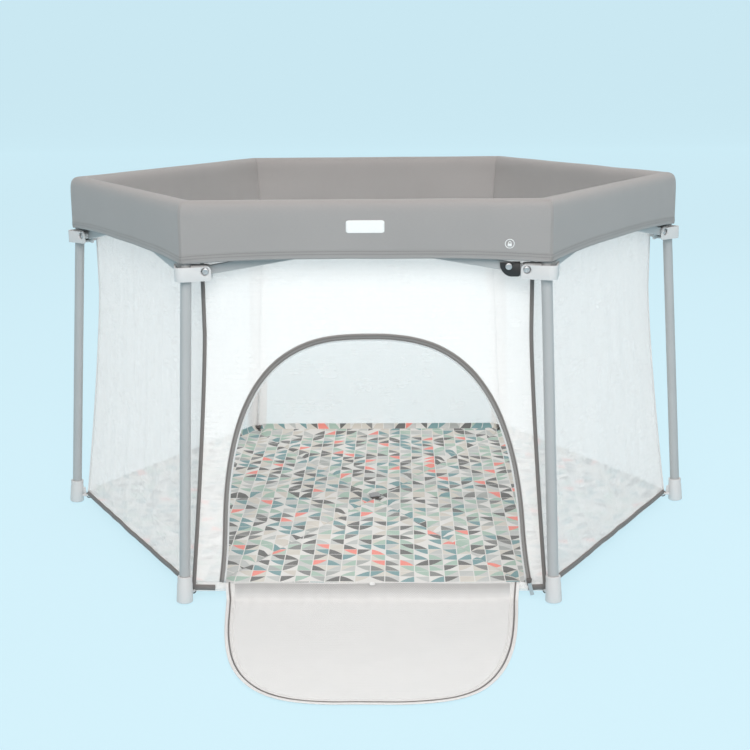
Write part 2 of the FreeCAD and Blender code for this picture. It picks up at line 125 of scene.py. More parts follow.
class Nodes:
    """One material's node tree, with short ways to add nodes and to join them."""

    def __init__(self, name: str) -> None:
        """Starts a material with a Principled surface.

        Args:
            name: the material's name.
        """
        self.material = bpy.data.materials.new(name)
        self.material.use_nodes = True
        self.tree = self.material.node_tree
        self.surface = self.tree.nodes["Principled BSDF"]

    def put(self, node: Node, socket: str | int, value: object) -> None:
        """Joins or sets one input of a node.

        Args:
            node: the node.
            socket: the input's name or number.
            value: a socket to join or a value to set.
        """
        if isinstance(value, Socket):
            self.tree.links.new(value, node.inputs[socket])
        else:
            node.inputs[socket].default_value = value

    def add(self, kind: str, inputs: dict[str | int, object] | None = None, **settings: object) -> Node:
        """Adds a node.

        Args:
            kind: the node type's name after ShaderNode.
            inputs: values or sockets by input.
            settings: the node's own settings.

        Returns:
            The node.
        """
        node = self.tree.nodes.new("ShaderNode" + kind)
        for key, value in settings.items():
            setattr(node, key, value)
        for socket, value in (inputs or {}).items():
            self.put(node, socket, value)
        return node

    def calc(self, operation: str, a: object, b: object = 0.0, c: object = 0.0) -> Socket:
        """One step of arithmetic on numbers or sockets."""
        return self.add("Math", {0: a, 1: b, 2: c}, operation=operation).outputs[0]

    def blend(self, share: object, a: object, b: object, way: str = "MIX") -> Socket:
        """Two colours mixed by a share.

        Args:
            share: how much of the second colour.
            a: the first colour.
            b: the second colour.
            way: the mix node's way of mixing.

        Returns:
            The mixed colour's socket.
        """
        node = self.add("Mix", data_type="RGBA", blend_type=way)
        for socket, value in ((0, share), (6, a), (7, b)):
            self.put(node, socket, (*value, 1.0) if isinstance(value, tuple) and len(value) == 3 else value)
        return node.outputs[2]

    def tinted(self, colour: object, share: object) -> Socket:
        """A colour times a number."""
        grey = self.add("CombineColor", {0: share, 1: share, 2: share}).outputs[0]
        return self.blend(1.0, colour, grey, "MULTIPLY")

    def stretched(self, place: object, scale: Colour) -> Socket:
        """A place with its three parts scaled."""
        return self.add("Mapping", {"Vector": place, "Scale": scale}).outputs[0]

    def grid(self, operation: str, a: object, b: object = (0.0, 0.0, 0.0)) -> Socket:
        """One step of arithmetic on places."""
        return self.add("VectorMath", {0: a, 1: b}, operation=operation).outputs[0]

    def ramp(self, value: object, stops: Sequence[tuple[float, Colour]], step: bool = False) -> Socket:
        """A colour looked up from a number.

        Args:
            value: the number's socket.
            stops: places from 0 to 1 and their colours.
            step: whether each colour holds until the next.

        Returns:
            The colour's socket.
        """
        node = self.add("ValToRGB", {0: value})
        band = node.color_ramp
        band.interpolation = "CONSTANT" if step else "LINEAR"
        while len(band.elements) > 1:
            band.elements.remove(band.elements[-1])
        band.elements[0].position, band.elements[0].color = stops[0][0], (*stops[0][1], 1.0)
        for place, colour in stops[1:]:
            band.elements.new(place).color = (*colour, 1.0)
        return node.outputs[0]

    def uv(self) -> tuple[Socket, Socket, Socket]:
        """The cloth's own map in metres: the vector and its two numbers.

        Returns:
            The sockets of the vector, of its first number and of its second.
        """
        place = self.add("UVMap", uv_map="UVMap").outputs[0]
        parts = self.add("SeparateXYZ", {0: place})
        return place, parts.outputs[0], parts.outputs[1]

    def spot(self) -> Socket:
        """Object coordinates."""
        return self.add("TexCoord").outputs["Object"]

    def grain(self, place: object, size: float, detail: float = 2.0) -> Socket:
        """Noise from 0 to 1 whose grains are about size across."""
        return self.add("TexNoise", {"Vector": place, "Scale": 1 / size, "Detail": detail}).outputs[0]

    def wave(self, value: object, pitch: float, shift: object = 0.0) -> Socket:
        """A cosine of a length, from -1 to 1, once each pitch."""
        turns = self.calc("MULTIPLY_ADD", value, 2 * math.pi / pitch, shift)
        return self.calc("COSINE", turns)

    def bump(self, height: object, depth: float, under: object | None = None) -> Socket:
        """A bump of that depth in metres, on another if given.

        Args:
            height: the height from 0 to 1.
            depth: the height of 1 in metres.
            under: the bump that it lies on.

        Returns:
            The normal's socket.
        """
        node = self.add("Bump", {"Height": height, "Distance": depth, "Strength": 1.0})
        if under is not None:
            self.put(node, "Normal", under)
        return node.outputs[0]

    def finish(self, colour: object, roughness: object, normal: object = None, **fixed: object) -> Material:
        """Fills in the surface.

        Args:
            colour: the base colour, a socket or a colour.
            roughness: a socket or a number.
            normal: the bump's socket.
            fixed: other inputs, with underscores for spaces.

        Returns:
            The material.
        """
        self.put(self.surface, "Base Color", (*colour, 1.0) if isinstance(colour, tuple) else colour)
        self.put(self.surface, "Roughness", roughness)
        if normal is not None:
            self.put(self.surface, "Normal", normal)
        for key, value in fixed.items():
            self.put(self.surface, key.replace("_", " "), value)
        return self.material


@dataclass(frozen=True)
class Painted:
    """Powder-coated steel: a faint orange peel and a slight change of tone along the tube."""

    name: str
    colour: Colour
    roughness: float = 0.42

    def make(self) -> Material:
        """Builds the material.

        Returns:
            The material.
        """
        n = Nodes(self.name)
        place = n.spot()
        tone = n.grain(place, 0.09, 3.0)
        dark, pale = (tuple(min(1.0, share * c) for c in self.colour) for share in (0.90, 1.06))
        colour = n.blend(tone, dark, pale)
        dust = n.grain(place, 0.004)
        rough = n.calc("MULTIPLY_ADD", dust, 0.12, self.roughness - 0.06)
        peel = n.bump(n.grain(place, 0.0011, 1.0), 0.00006)
        return n.finish(colour, rough, peel, Coat_Weight=0.15, Coat_Roughness=0.25)


@dataclass(frozen=True)
class Moulded:
    """Injection-moulded plastic with a spark-eroded grain, rubbed smoother on its high spots."""

    name: str
    colour: Colour
    roughness: float = 0.48
    grain_size: float = 0.0007

    def make(self) -> Material:
        """Builds the material.

        Returns:
            The material.
        """
        n = Nodes(self.name)
        place = n.spot()
        cloud = n.grain(place, 0.03, 3.0)
        dark, pale = (tuple(min(1.0, tone * c) for c in self.colour) for tone in (0.94, 1.04))
        colour = n.blend(cloud, dark, pale)
        rub = n.grain(place, 0.012, 4.0)
        rough = n.calc("MULTIPLY_ADD", rub, 0.18, self.roughness - 0.09)
        grain = n.bump(n.grain(place, self.grain_size, 2.0), 0.00005)
        return n.finish(colour, rough, grain, IOR=1.49)


@dataclass(frozen=True)
class Plated:
    """Zinc-plated steel with fine turning marks."""

    name: str
    colour: Colour

    def make(self) -> Material:
        """Builds the material.

        Returns:
            The material.
        """
        n = Nodes(self.name)
        place = n.spot()
        haze = n.grain(place, 0.003, 4.0)
        colour = n.blend(haze, tuple(0.8 * c for c in self.colour), self.colour)
        marks = n.grain(n.stretched(place, (1.0, 1.0, 9.0)), 0.0012, 3.0)
        rough = n.calc("MULTIPLY_ADD", haze, 0.2, 0.24)
        return n.finish(colour, rough, n.bump(marks, 0.00003), Metallic=0.9)


@dataclass(frozen=True)
class Woven:
    """Plain-woven cloth: threads over and under each other, a little uneven, with rows of stitches."""

    name: str
    colour: Colour
    pitch: float = 0.0011
    depth: float = 0.00018
    stitch_rows: tuple[float, ...] = ()
    thread: Colour = (0.5, 0.5, 0.5)
    sheen: float = 0.25

    def make(self) -> Material:
        """Builds the material.

        Returns:
            The material.
        """
        n = Nodes(self.name)
        place, u, v = n.uv()
        warp, weft = n.wave(u, self.pitch), n.wave(v, self.pitch)
        weave = n.calc("MULTIPLY", warp, weft)
        slub = n.grain(n.stretched(place, (1.0, 6.0, 1.0)), 0.006, 3.0)
        cloud = n.grain(place, 0.16, 3.0)
        woven = n.calc("MULTIPLY_ADD", weave, 0.05, 0.90)
        shade = n.calc("MULTIPLY_ADD", slub, 0.10, n.calc("MULTIPLY_ADD", cloud, 0.10, woven))
        colour = n.tinted(self.colour, shade)
        height = n.calc("MULTIPLY_ADD", weave, 0.5, slub)
        normal = n.bump(height, self.depth)
        for row in self.stitch_rows:
            off = n.calc("ABSOLUTE", n.calc("SUBTRACT", v, row))
            line = n.calc("LESS_THAN", off, 0.0007)
            dash = n.calc("GREATER_THAN", n.wave(u, 0.0042), -0.45)
            on = n.calc("MULTIPLY", line, dash)
            colour = n.blend(on, colour, self.thread)
            dip = n.calc("SUBTRACT", n.calc("MULTIPLY", on, 1.4), n.calc("LESS_THAN", off, 0.0022))
            normal = n.bump(dip, 0.0005, normal)
        return n.finish(colour, 0.88, normal, Sheen_Weight=self.sheen, Sheen_Roughness=0.5)


@dataclass(frozen=True)
class Net:
    """Knitted mesh: staggered round holes between white threads.

    A faint own light stands for the light that shines through the threads, and shaded_foot paints shade along
    the foot of the cloth.
    """

    name: str
    colour: Colour
    pitch: float = 0.0016
    closed: float = 0.68
    hole: float = 0.26
    shaded_foot: float = 0.0
    through: float = 0.19

    def make(self) -> Material:
        """Builds the material.

        Returns:
            The material.
        """
        n = Nodes(self.name)
        place, u, v = n.uv()
        across = n.wave(u, self.pitch)
        along = n.wave(v, self.pitch * 1.35)
        cell = n.calc("ABSOLUTE", n.calc("MULTIPLY", across, along))
        thread = n.add("MapRange", {0: cell, 1: 0.2, 2: 0.5, 3: self.closed, 4: self.hole}, clamp=True)
        cloud = n.grain(place, 0.05, 3.0)
        alpha = n.calc("MULTIPLY_ADD", cloud, 0.06, n.calc("SUBTRACT", thread.outputs[0], 0.03))
        rib = n.calc("MULTIPLY_ADD", n.wave(v, 0.0096), 0.012, 0.985)
        colour = n.tinted(self.colour, rib)
        # Painted shade: the cloth's foot, which hangs in shadow under the sill, is darkened in a band from v
        # 0.010 to 0.042, with a ripple of specks in the shade.
        if self.shaded_foot:
            fade = {0: v, 1: 0.010, 2: 0.042, 3: 1 - self.shaded_foot, 4: 1.0}
            lit = n.add("MapRange", fade, clamp=True).outputs[0]
            shade_ripple = n.calc("MULTIPLY", n.wave(u, 0.0046), n.wave(v, 0.0036))
            dim = n.calc("MULTIPLY", n.calc("SUBTRACT", 1.0, lit), n.calc("MULTIPLY_ADD", shade_ripple, 0.6, 1.0))
            dim = n.calc("SUBTRACT", 1.0, n.calc("MULTIPLY", dim, n.calc("GREATER_THAN", v, 0.0035)))
            colour = n.tinted(colour, dim)
        normal = n.bump(cell, -0.00025)
        n.put(n.surface, "Alpha", alpha)
        return n.finish(colour, 0.75, normal, Sheen_Weight=0.1, Emission_Color=(1.0, 0.96, 0.945, 1.0),
                        Emission_Strength=self.through)


@dataclass(frozen=True)
class Print:
    """Printed floor cloth: squares with pale joints, each cut by a curved diagonal into two colours."""

    name: str
    cell: float = 0.0272
    ground: Colour = (0.80, 0.80, 0.78)
    pale_inks: tuple[tuple[float, Colour], ...] = (
        (0.0, (0.80, 0.80, 0.78)), (0.34, (0.70, 0.68, 0.62)), (0.60, (0.60, 0.62, 0.61)),
        (0.80, (0.76, 0.77, 0.75)), (0.92, (0.46, 0.60, 0.52)),
    )
    deep_inks: tuple[tuple[float, Colour], ...] = (
        (0.0, (0.115, 0.12, 0.118)), (0.20, (0.17, 0.34, 0.365)), (0.40, (0.40, 0.56, 0.48)),
        (0.56, (0.56, 0.59, 0.58)), (0.70, (0.68, 0.65, 0.59)), (0.82, (0.22, 0.23, 0.225)),
        (0.90, (0.93, 0.28, 0.23)), (0.955, (0.42, 0.45, 0.44)),
    )

    def make(self) -> Material:
        """Builds the material.

        Returns:
            The material.
        """
        n = Nodes(self.name)
        place, u, v = n.uv()
        squares = n.grid("MULTIPLY", place, (1 / self.cell, 1 / self.cell, 0))
        cell = n.grid("FLOOR", squares)
        inside = n.add("SeparateXYZ", {0: n.grid("FRACTION", squares)})
        picks = n.add("TexWhiteNoise", {"Vector": cell}, noise_dimensions="3D")
        pick = n.add("SeparateColor", {0: picks.outputs[1]})
        other = n.add("TexWhiteNoise", {"Vector": n.grid("ADD", cell, (13.5, 7.5, 3.5))})
        turn = n.add("SeparateColor", {0: other.outputs[1]})
        x = self._flipped(n, inside.outputs[0], turn.outputs[0])
        y = self._flipped(n, inside.outputs[1], turn.outputs[1])
        bow = n.calc("MULTIPLY", n.calc("SINE", n.calc("MULTIPLY", x, math.pi)), 0.13)
        sail = n.calc("LESS_THAN", y, n.calc("ADD", x, bow))
        light = n.ramp(pick.outputs[0], self.pale_inks, True)
        dark = n.ramp(pick.outputs[1], self.deep_inks, True)
        colour = n.blend(sail, light, dark)
        joint = n.calc("MAXIMUM", self._edge(n, inside.outputs[0]), self._edge(n, inside.outputs[1]))
        colour = n.blend(joint, colour, self.ground)
        ink = n.grain(place, 0.0016, 3.0)
        colour = n.blend(n.calc("MULTIPLY", ink, 0.16), colour, (0.86, 0.86, 0.84))
        weave = n.calc("MULTIPLY", n.wave(u, 0.0009), n.wave(v, 0.0009))
        puff = n.bump(n.grain(place, 0.018, 2.0), 0.0012)
        return n.finish(colour, 0.8, n.bump(weave, 0.00012, puff), Sheen_Weight=0.15)

    def _flipped(self, n: Nodes, value: object, pick: object) -> Socket:
        """The number, or 1 minus it in half of the squares."""
        flip = n.calc("GREATER_THAN", pick, 0.5)
        return n.calc("ABSOLUTE", n.calc("SUBTRACT", flip, value))

    def _edge(self, n: Nodes, value: object) -> Socket:
        """1 in the pale joint beside a square's edge."""
        return n.calc("GREATER_THAN", n.calc("ABSOLUTE", n.calc("SUBTRACT", value, 0.5)), 0.468)


@dataclass(frozen=True)
class Finishes:
    """Every finish, made once."""

    tube: Material
    bracket: Material
    link: Material
    steel: Material
    black: Material
    rim: Material
    net: Material
    flap_net: Material
    dense_net: Material
    print_cloth: Material
    taupe: Material
    tape: Material
    white_tape: Material
    teeth: Material
    tab: Material
    white_print: Material
    cord: Material

    @classmethod
    def make(cls) -> "Finishes":
        """Builds them all.

        Returns:
            The set of finishes.
        """
        return cls(
            tube=Painted("pale_grey_paint", (0.435, 0.445, 0.45)).make(),
            bracket=Moulded("off_white_plastic", (0.66, 0.655, 0.655)).make(),
            link=Painted("link_paint", (0.44, 0.445, 0.45), 0.38).make(),
            steel=Plated("zinc_plate", (0.62, 0.62, 0.63)).make(),
            black=Moulded("black_plastic", (0.018, 0.018, 0.019), 0.4).make(),
            rim=Woven("grey_rim_cloth", (0.345, 0.332, 0.328), stitch_rows=(0.0075, 0.0120),
                      thread=(0.24, 0.235, 0.23)).make(),
            net=Net("white_net", (0.93, 0.93, 0.925)).make(),
            # The flap's net carries a painted shade along its foot, under the sill.
            flap_net=Net("white_net_painted_foot_shade", (0.91, 0.91, 0.905), closed=0.95, hole=0.70, shaded_foot=0.42,
                         through=0.02).make(),
            dense_net=Net("white_net_doubled", (0.86, 0.86, 0.855), 0.0032, 0.95, 0.35, through=0.06).make(),
            print_cloth=Print("sail_print").make(),
            taupe=Woven("taupe_binding", (0.205, 0.188, 0.180), 0.0009, 0.0002, sheen=0.15).make(),
            tape=Woven("grey_zip_tape", (0.29, 0.275, 0.265), 0.0008, 0.0002, stitch_rows=(0.0075,),
                       thread=(0.5, 0.49, 0.48)).make(),
            white_tape=Woven("white_tape", (0.82, 0.82, 0.82), 0.0008, 0.0002, sheen=0.1).make(),
            teeth=Moulded("zip_coil", (0.15, 0.14, 0.136), 0.35, 0.0004).make(),
            tab=Woven("grey_webbing", (0.33, 0.345, 0.36), 0.0016, 0.0003, stitch_rows=(0.002, 0.018),
                      thread=(0.45, 0.46, 0.47)).make(),
            white_print=Woven("white_print", (0.86, 0.86, 0.86), 0.0010, 0.0001).make(),
            cord=Moulded("dark_cord", (0.13, 0.12, 0.115), 0.7, 0.0009).make(),
        )


# Places


@dataclass(frozen=True)
class Layout:
    """The yard's plan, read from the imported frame."""

    ring: float
    top_pivot: float
    low_pivot: float
    keep: float

    @classmethod
    def read(cls, joints: Sequence[dict]) -> "Layout":
        """Takes the corner radius, the pivot heights and a folded side's share from the frame's joints.

        Args:
            joints: the frame's joints.

        Returns:
            The layout.
        """
        by_name = {j["name"]: j for j in joints}
        leg = Vector(by_name["right_leg_hinge"]["pos_m"])
        low = by_name["front_left_lower_bracket_hinge"]["pos_m"][2]
        fold = by_name["frame_fold"]
        ring = leg.xy.length
        reach = abs(fold["pos_m"][0] + ring / 2)
        span, drop = ring - 2 * reach, leg.z - low
        folded = math.atan2(drop, span) + math.radians(fold["range_deg"][1])
        return cls(ring, leg.z, low, (2 * reach + math.hypot(span, drop) * math.cos(folded)) / ring)

    def corner(self, k: int) -> Vector:
        """A corner's axis at floor height."""
        a = math.radians(60 * k)
        return Vector((self.ring * math.cos(a), self.ring * math.sin(a), 0))

    def corner_frame(self, k: int) -> Matrix:
        """From a corner's frame, X outwards, to the yard."""
        return Matrix.Translation(self.corner(k)) @ Matrix.Rotation(math.radians(60 * k), 4, "Z")

    def side_frame(self, i: int) -> Matrix:
        """From a side's frame to the yard."""
        return Matrix.Translation(self.corner(i)) @ Matrix.Rotation(math.radians(60 * i + 120), 4, "Z")

    def side_way(self, i: int) -> Vector:
        """The direction along a side."""
        return (self.corner((i + 1) % 6) - self.corner(i)).normalized()

    def mitred(self, i: int, t: float, out: float, z: float) -> Vector:
        """A point on a side.

        Args:
            i: the side.
            t: the share of the way between the side's two mitre planes.
            out: the distance outwards from the corner plane.
            z: the height.

        Returns:
            The point in the yard's frame.
        """
        width = self.ring + 2 * out * TAN30
        return self.side_frame(i) @ Vector((self.ring / 2 + (t - 0.5) * width, -out, z))

    def out_of_ring(self, radius: float) -> float:
        """How far out a side lies when its corners are on that radius."""
        return (radius - self.ring) * COS30


# Mesh helpers


def new_piece(
    name: str, points: Sequence[Vector], faces: Sequence[Sequence[int]], uv: Sequence[Uv] | None = None
) -> Piece:
    """A mesh object with its own map.

    Args:
        name: the piece's name.
        points: its points in the yard's frame.
        faces: point numbers of each face.
        uv: one place on the map for each point, in metres.

    Returns:
        The object.
    """
    mesh = bpy.data.meshes.new(name)
    mesh.from_pydata([tuple(p) for p in points], [], [tuple(f) for f in faces])
    if uv is not None:
        layer = mesh.uv_layers.new(name="UVMap")
        for loop in mesh.loops:
            layer.data[loop.index].uv = uv[loop.vertex_index]
    mesh.polygons.foreach_set("use_smooth", [True] * len(mesh.polygons))
    mesh.update()
    obj = bpy.data.objects.new(name, mesh)
    bpy.context.scene.collection.objects.link(obj)
    return obj


def select(obj: Piece) -> None:
    """Selects one object alone and makes it active.

    Args:
        obj: the object.
    """
    for other in bpy.context.view_layer.objects:
        other.select_set(False)
    obj.select_set(True)
    bpy.context.view_layer.objects.active = obj


def modify(obj: Piece, kind: str, **settings: object) -> None:
    """Adds a modifier and applies it.

    Args:
        obj: the object.
        kind: the modifier's type.
        settings: the modifier's own settings.
    """
    select(obj)
    modifier = obj.modifiers.new(kind.lower(), kind)
    for key, value in settings.items():
        setattr(modifier, key, value)
    bpy.ops.object.modifier_apply(modifier=modifier.name)


def net_of(
    name: str, rows: int, columns: int, place: Callable[[float, float], tuple[Vector, Uv]], flip: bool = False
) -> Piece:
    """A grid of quads.

    Args:
        name: the piece's name.
        rows: how many strips along the first share.
        columns: how many along the second.
        place: gives a point and its map place for two shares from 0 to 1.
        flip: whether to turn the faces round.

    Returns:
        The object.
    """
    points, uv = [], []
    for r in range(rows + 1):
        for c in range(columns + 1):
            p, m = place(r / rows, c / columns)
            points.append(p)
            uv.append(m)
    w = columns + 1
    corners = (r * w + c for r in range(rows) for c in range(columns))
    faces = [(q, q + 1, q + w + 1, q + w) for q in corners]
    return new_piece(name, points, [tuple(reversed(f)) for f in faces] if flip else faces, uv)


def sweep(name: str, path: Sequence[Vector], ups: Sequence[Vector], profile: Sequence[Uv]) -> Piece:
    """A closed profile carried along a path, with capped ends.

    Args:
        name: the piece's name.
        path: the points that it follows.
        ups: the profile's second axis at each point.
        profile: the section, anticlockwise, as (across, up).

    Returns:
        The object.
    """
    points: list[Vector] = []
    uv: list[Uv] = []
    n, run = len(profile), 0.0
    for i, p in enumerate(path):
        along = (path[min(i + 1, len(path) - 1)] - path[max(i - 1, 0)]).normalized()
        across = along.cross(ups[i]).normalized()
        up = across.cross(along)
        run += (p - path[i - 1]).length if i else 0.0
        reach = 0.0
        for j, (a, b) in enumerate(profile):
            points.append(p + across * a + up * b)
            if j:
                reach += math.hypot(a - profile[j - 1][0], b - profile[j - 1][1])
            uv.append((run, reach))
    faces = [(i * n + j, i * n + (j + 1) % n, (i + 1) * n + (j + 1) % n, (i + 1) * n + j)
             for i in range(len(path) - 1) for j in range(n)]
    faces.append(tuple(reversed(range(n))))
    faces.append(tuple(range((len(path) - 1) * n, len(path) * n)))
    piece = new_piece(name, points, faces, uv)
    recalculate(piece)
    return piece


def around(angle: float, across: float, up: float | None = None) -> Uv:
    """The point of a circle, or of an ellipse, at an angle."""
    return across * math.cos(angle), (across if up is None else up) * math.sin(angle)


def round_profile(radius: float, sides: int = 10) -> list[Uv]:
    """A circle's points."""
    return [around(2 * math.pi * i / sides, radius) for i in range(sides)]


def flat_profile(left: float, right: float, low: float, high: float) -> list[Uv]:
    """A flat band's section with its upper corners eased.

    Args:
        left: the band's left edge.
        right: its right edge.
        low: its underside.
        high: its top.

    Returns:
        The section's points, anticlockwise.
    """
    ease = min(0.25 * (right - left), 0.6 * (high - low))
    foot = [(left, low), (right, low)]
    return [*foot, (right, high - ease), (right - ease, high), (left + ease, high), (left, high - ease)]


def edit_all(obj: Piece) -> None:
    """Enters edit mode with the whole mesh selected.

    Args:
        obj: the object.
    """
    select(obj)
    bpy.ops.object.mode_set(mode="EDIT")
    bpy.ops.mesh.select_all(action="SELECT")


def leave_edit() -> None:
    """Back to object mode."""
    bpy.ops.object.mode_set(mode="OBJECT")


def recalculate(obj: Piece) -> None:
    """Turns a closed shape's faces outwards.

    Args:
        obj: the object.
    """
    edit_all(obj)
    bpy.ops.mesh.normals_make_consistent(inside=False)
    leave_edit()


def smooth_shade(obj: Piece, degrees: float) -> None:
    """Smooth shading, but for the edges sharper than that."""
    select(obj)
    bpy.ops.object.shade_smooth_by_angle(angle=math.radians(degrees))


def paint(obj: Piece, material: Material) -> None:
    """Gives a piece one material."""
    obj.data.materials.clear()
    obj.data.materials.append(material)


def copied(obj: Piece, name: str, matrix: Matrix) -> Piece:
    """A copy with its own mesh, moved by a matrix.

    Args:
        obj: the object to copy.
        name: the copy's name.
        matrix: moves its mesh.

    Returns:
        The copy.
    """
    twin = obj.copy()
    twin.data = obj.data.copy()
    twin.name = twin.data.name = name
    bpy.context.scene.collection.objects.link(twin)
    twin.data.transform(matrix)
    return twin


def joined(pieces: Sequence[Piece], name: str) -> Piece:
    """Several objects as one.

    Args:
        pieces: the objects, which become one.
        name: the new object's name.

    Returns:
        The object.
    """
    select(pieces[0])
    for p in pieces[1:]:
        p.select_set(True)
    bpy.ops.object.join()
    pieces[0].name = pieces[0].data.name = name
    return pieces[0]


def primitive(kind: str, **settings: object) -> Piece:
    """Adds a primitive mesh, placed in its own mesh data, with nothing else selected.

    Args:
        kind: the primitive's name in Blender.
        settings: the primitive's own settings.

    Returns:
        The object.
    """
    for other in bpy.context.view_layer.objects:
        other.select_set(False)
    getattr(bpy.ops.mesh, f"primitive_{kind}_add")(**settings)
    obj = bpy.context.object
    bpy.ops.object.transform_apply(location=True, rotation=True, scale=True)
    return obj


def edit_faces(obj: Piece, wanted: Callable[[bpy.types.MeshPolygon], bool]) -> None:
    """Enters edit mode with only the wanted faces selected.

    Args:
        obj: the object.
        wanted: says whether a face is wanted.
    """
    select(obj)
    for p in obj.data.polygons:
        p.select = wanted(p)
    for e in obj.data.edges:
        e.select = False
    for v in obj.data.vertices:
        v.select = False
    bpy.ops.object.mode_set(mode="EDIT")
    bpy.ops.mesh.select_mode(type="FACE")
    bpy.ops.object.mode_set(mode="OBJECT")
    for p in obj.data.polygons:
        p.select = wanted(p)
    bpy.ops.object.mode_set(mode="EDIT")


@dataclass
class Assembly:
    """What every sub-assembly shares: the plan, the finishes and how its pieces are put on the frame."""

    layout: Layout
    finishes: Finishes

    def settle(
        self, obj: Piece, body: str, slot: Slot, material: Material, replaces: Sequence[str] = ()
    ) -> Piece:
        """Puts a finished piece on the frame.

        Args:
            obj: the piece.
            body: the frame's body that it rides on.
            slot: the record's material slot; not used.
            material: its finish.
            replaces: the frame's nodes that it stands for.

        Returns:
            The piece.
        """
        if not obj.data.materials:
            paint(obj, material)
        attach(obj, body)
        if replaces:
            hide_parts(*replaces)
        LOG.info("%s on %s, %d faces", obj.name, body, len(obj.data.polygons))
        return obj

    def gather(self, obj: Piece, i: int) -> None:
        """Gives a side's piece its own copy of its mesh."""
        plan = self.layout
        plan.side_way(i)
        plan.corner(i)
        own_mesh(obj)


@dataclass
class Enclosure(Assembly):
    """Shape of the sewn enclosure, which the rim, the walls and their trims share."""

    foot_ring: float = 0.6235
    wall_low: float = 0.013
    wall_high: float = 0.606
    wall_top_out: float = -0.019
    seam_tops: tuple[float, ...] = (0.570, 0.5675, 0.5675, 0.571, 0.5615, 0.565)
    seam_knee: float = 0.47
    edge_gap: float = 0.0022
    net_thickness: float = 0.0007

    def seam_ring(self, k: int, z: float) -> float:
        """The radius of a corner seam at a height: drawn in as far as the knee, then upright."""
        top = self.seam_tops[k % 6]
        return top + (self.foot_ring - top) * max(0.0, 1 - z / self.seam_knee) ** 1.25

    def wall_out(self, i: int, t: float, z: float) -> float:
        """How far out a wall's surface is at a share of the way along its side and a height.

        Args:
            i: the side.
            t: the share of the way along the side.
            z: the height.

        Returns:
            The distance outwards from the corner plane.
        """
        low = self.layout.out_of_ring(self.foot_ring)
        flat = mix(low, self.wall_top_out, (z - self.wall_low) / (self.wall_high - self.wall_low))
        seam = self.layout.out_of_ring(mix(self.seam_ring(i, z), self.seam_ring(i + 1, z), t))
        ripple = 0.0020 * wander(3 * t + i, 0.8 * z, 0.3 * i, 0.16) * math.sin(math.pi * min(1, max(0, t)))
        return mix(seam, flat, 0.66 * (1 - min(1.0, abs(2 * t - 1)) ** 2.2)) + ripple

    def wall_point(self, i: int, t: float, z: float, lift: float = 0.0) -> Vector:
        """A point on a wall, or that far outside it."""
        return self.layout.mitred(i, t, self.wall_out(i, t, z) + lift, z)

    def share_of(self, i: int, x: float, z: float) -> float:
        """The share along a side of a point x from its middle.

        Args:
            i: the side.
            x: the distance from the side's middle.
            z: the height.

        Returns:
            The share.
        """
        t = 0.5
        for _ in range(4):
            t = 0.5 + x / (self.layout.ring + 2 * self.wall_out(i, t, z) * TAN30)
        return t


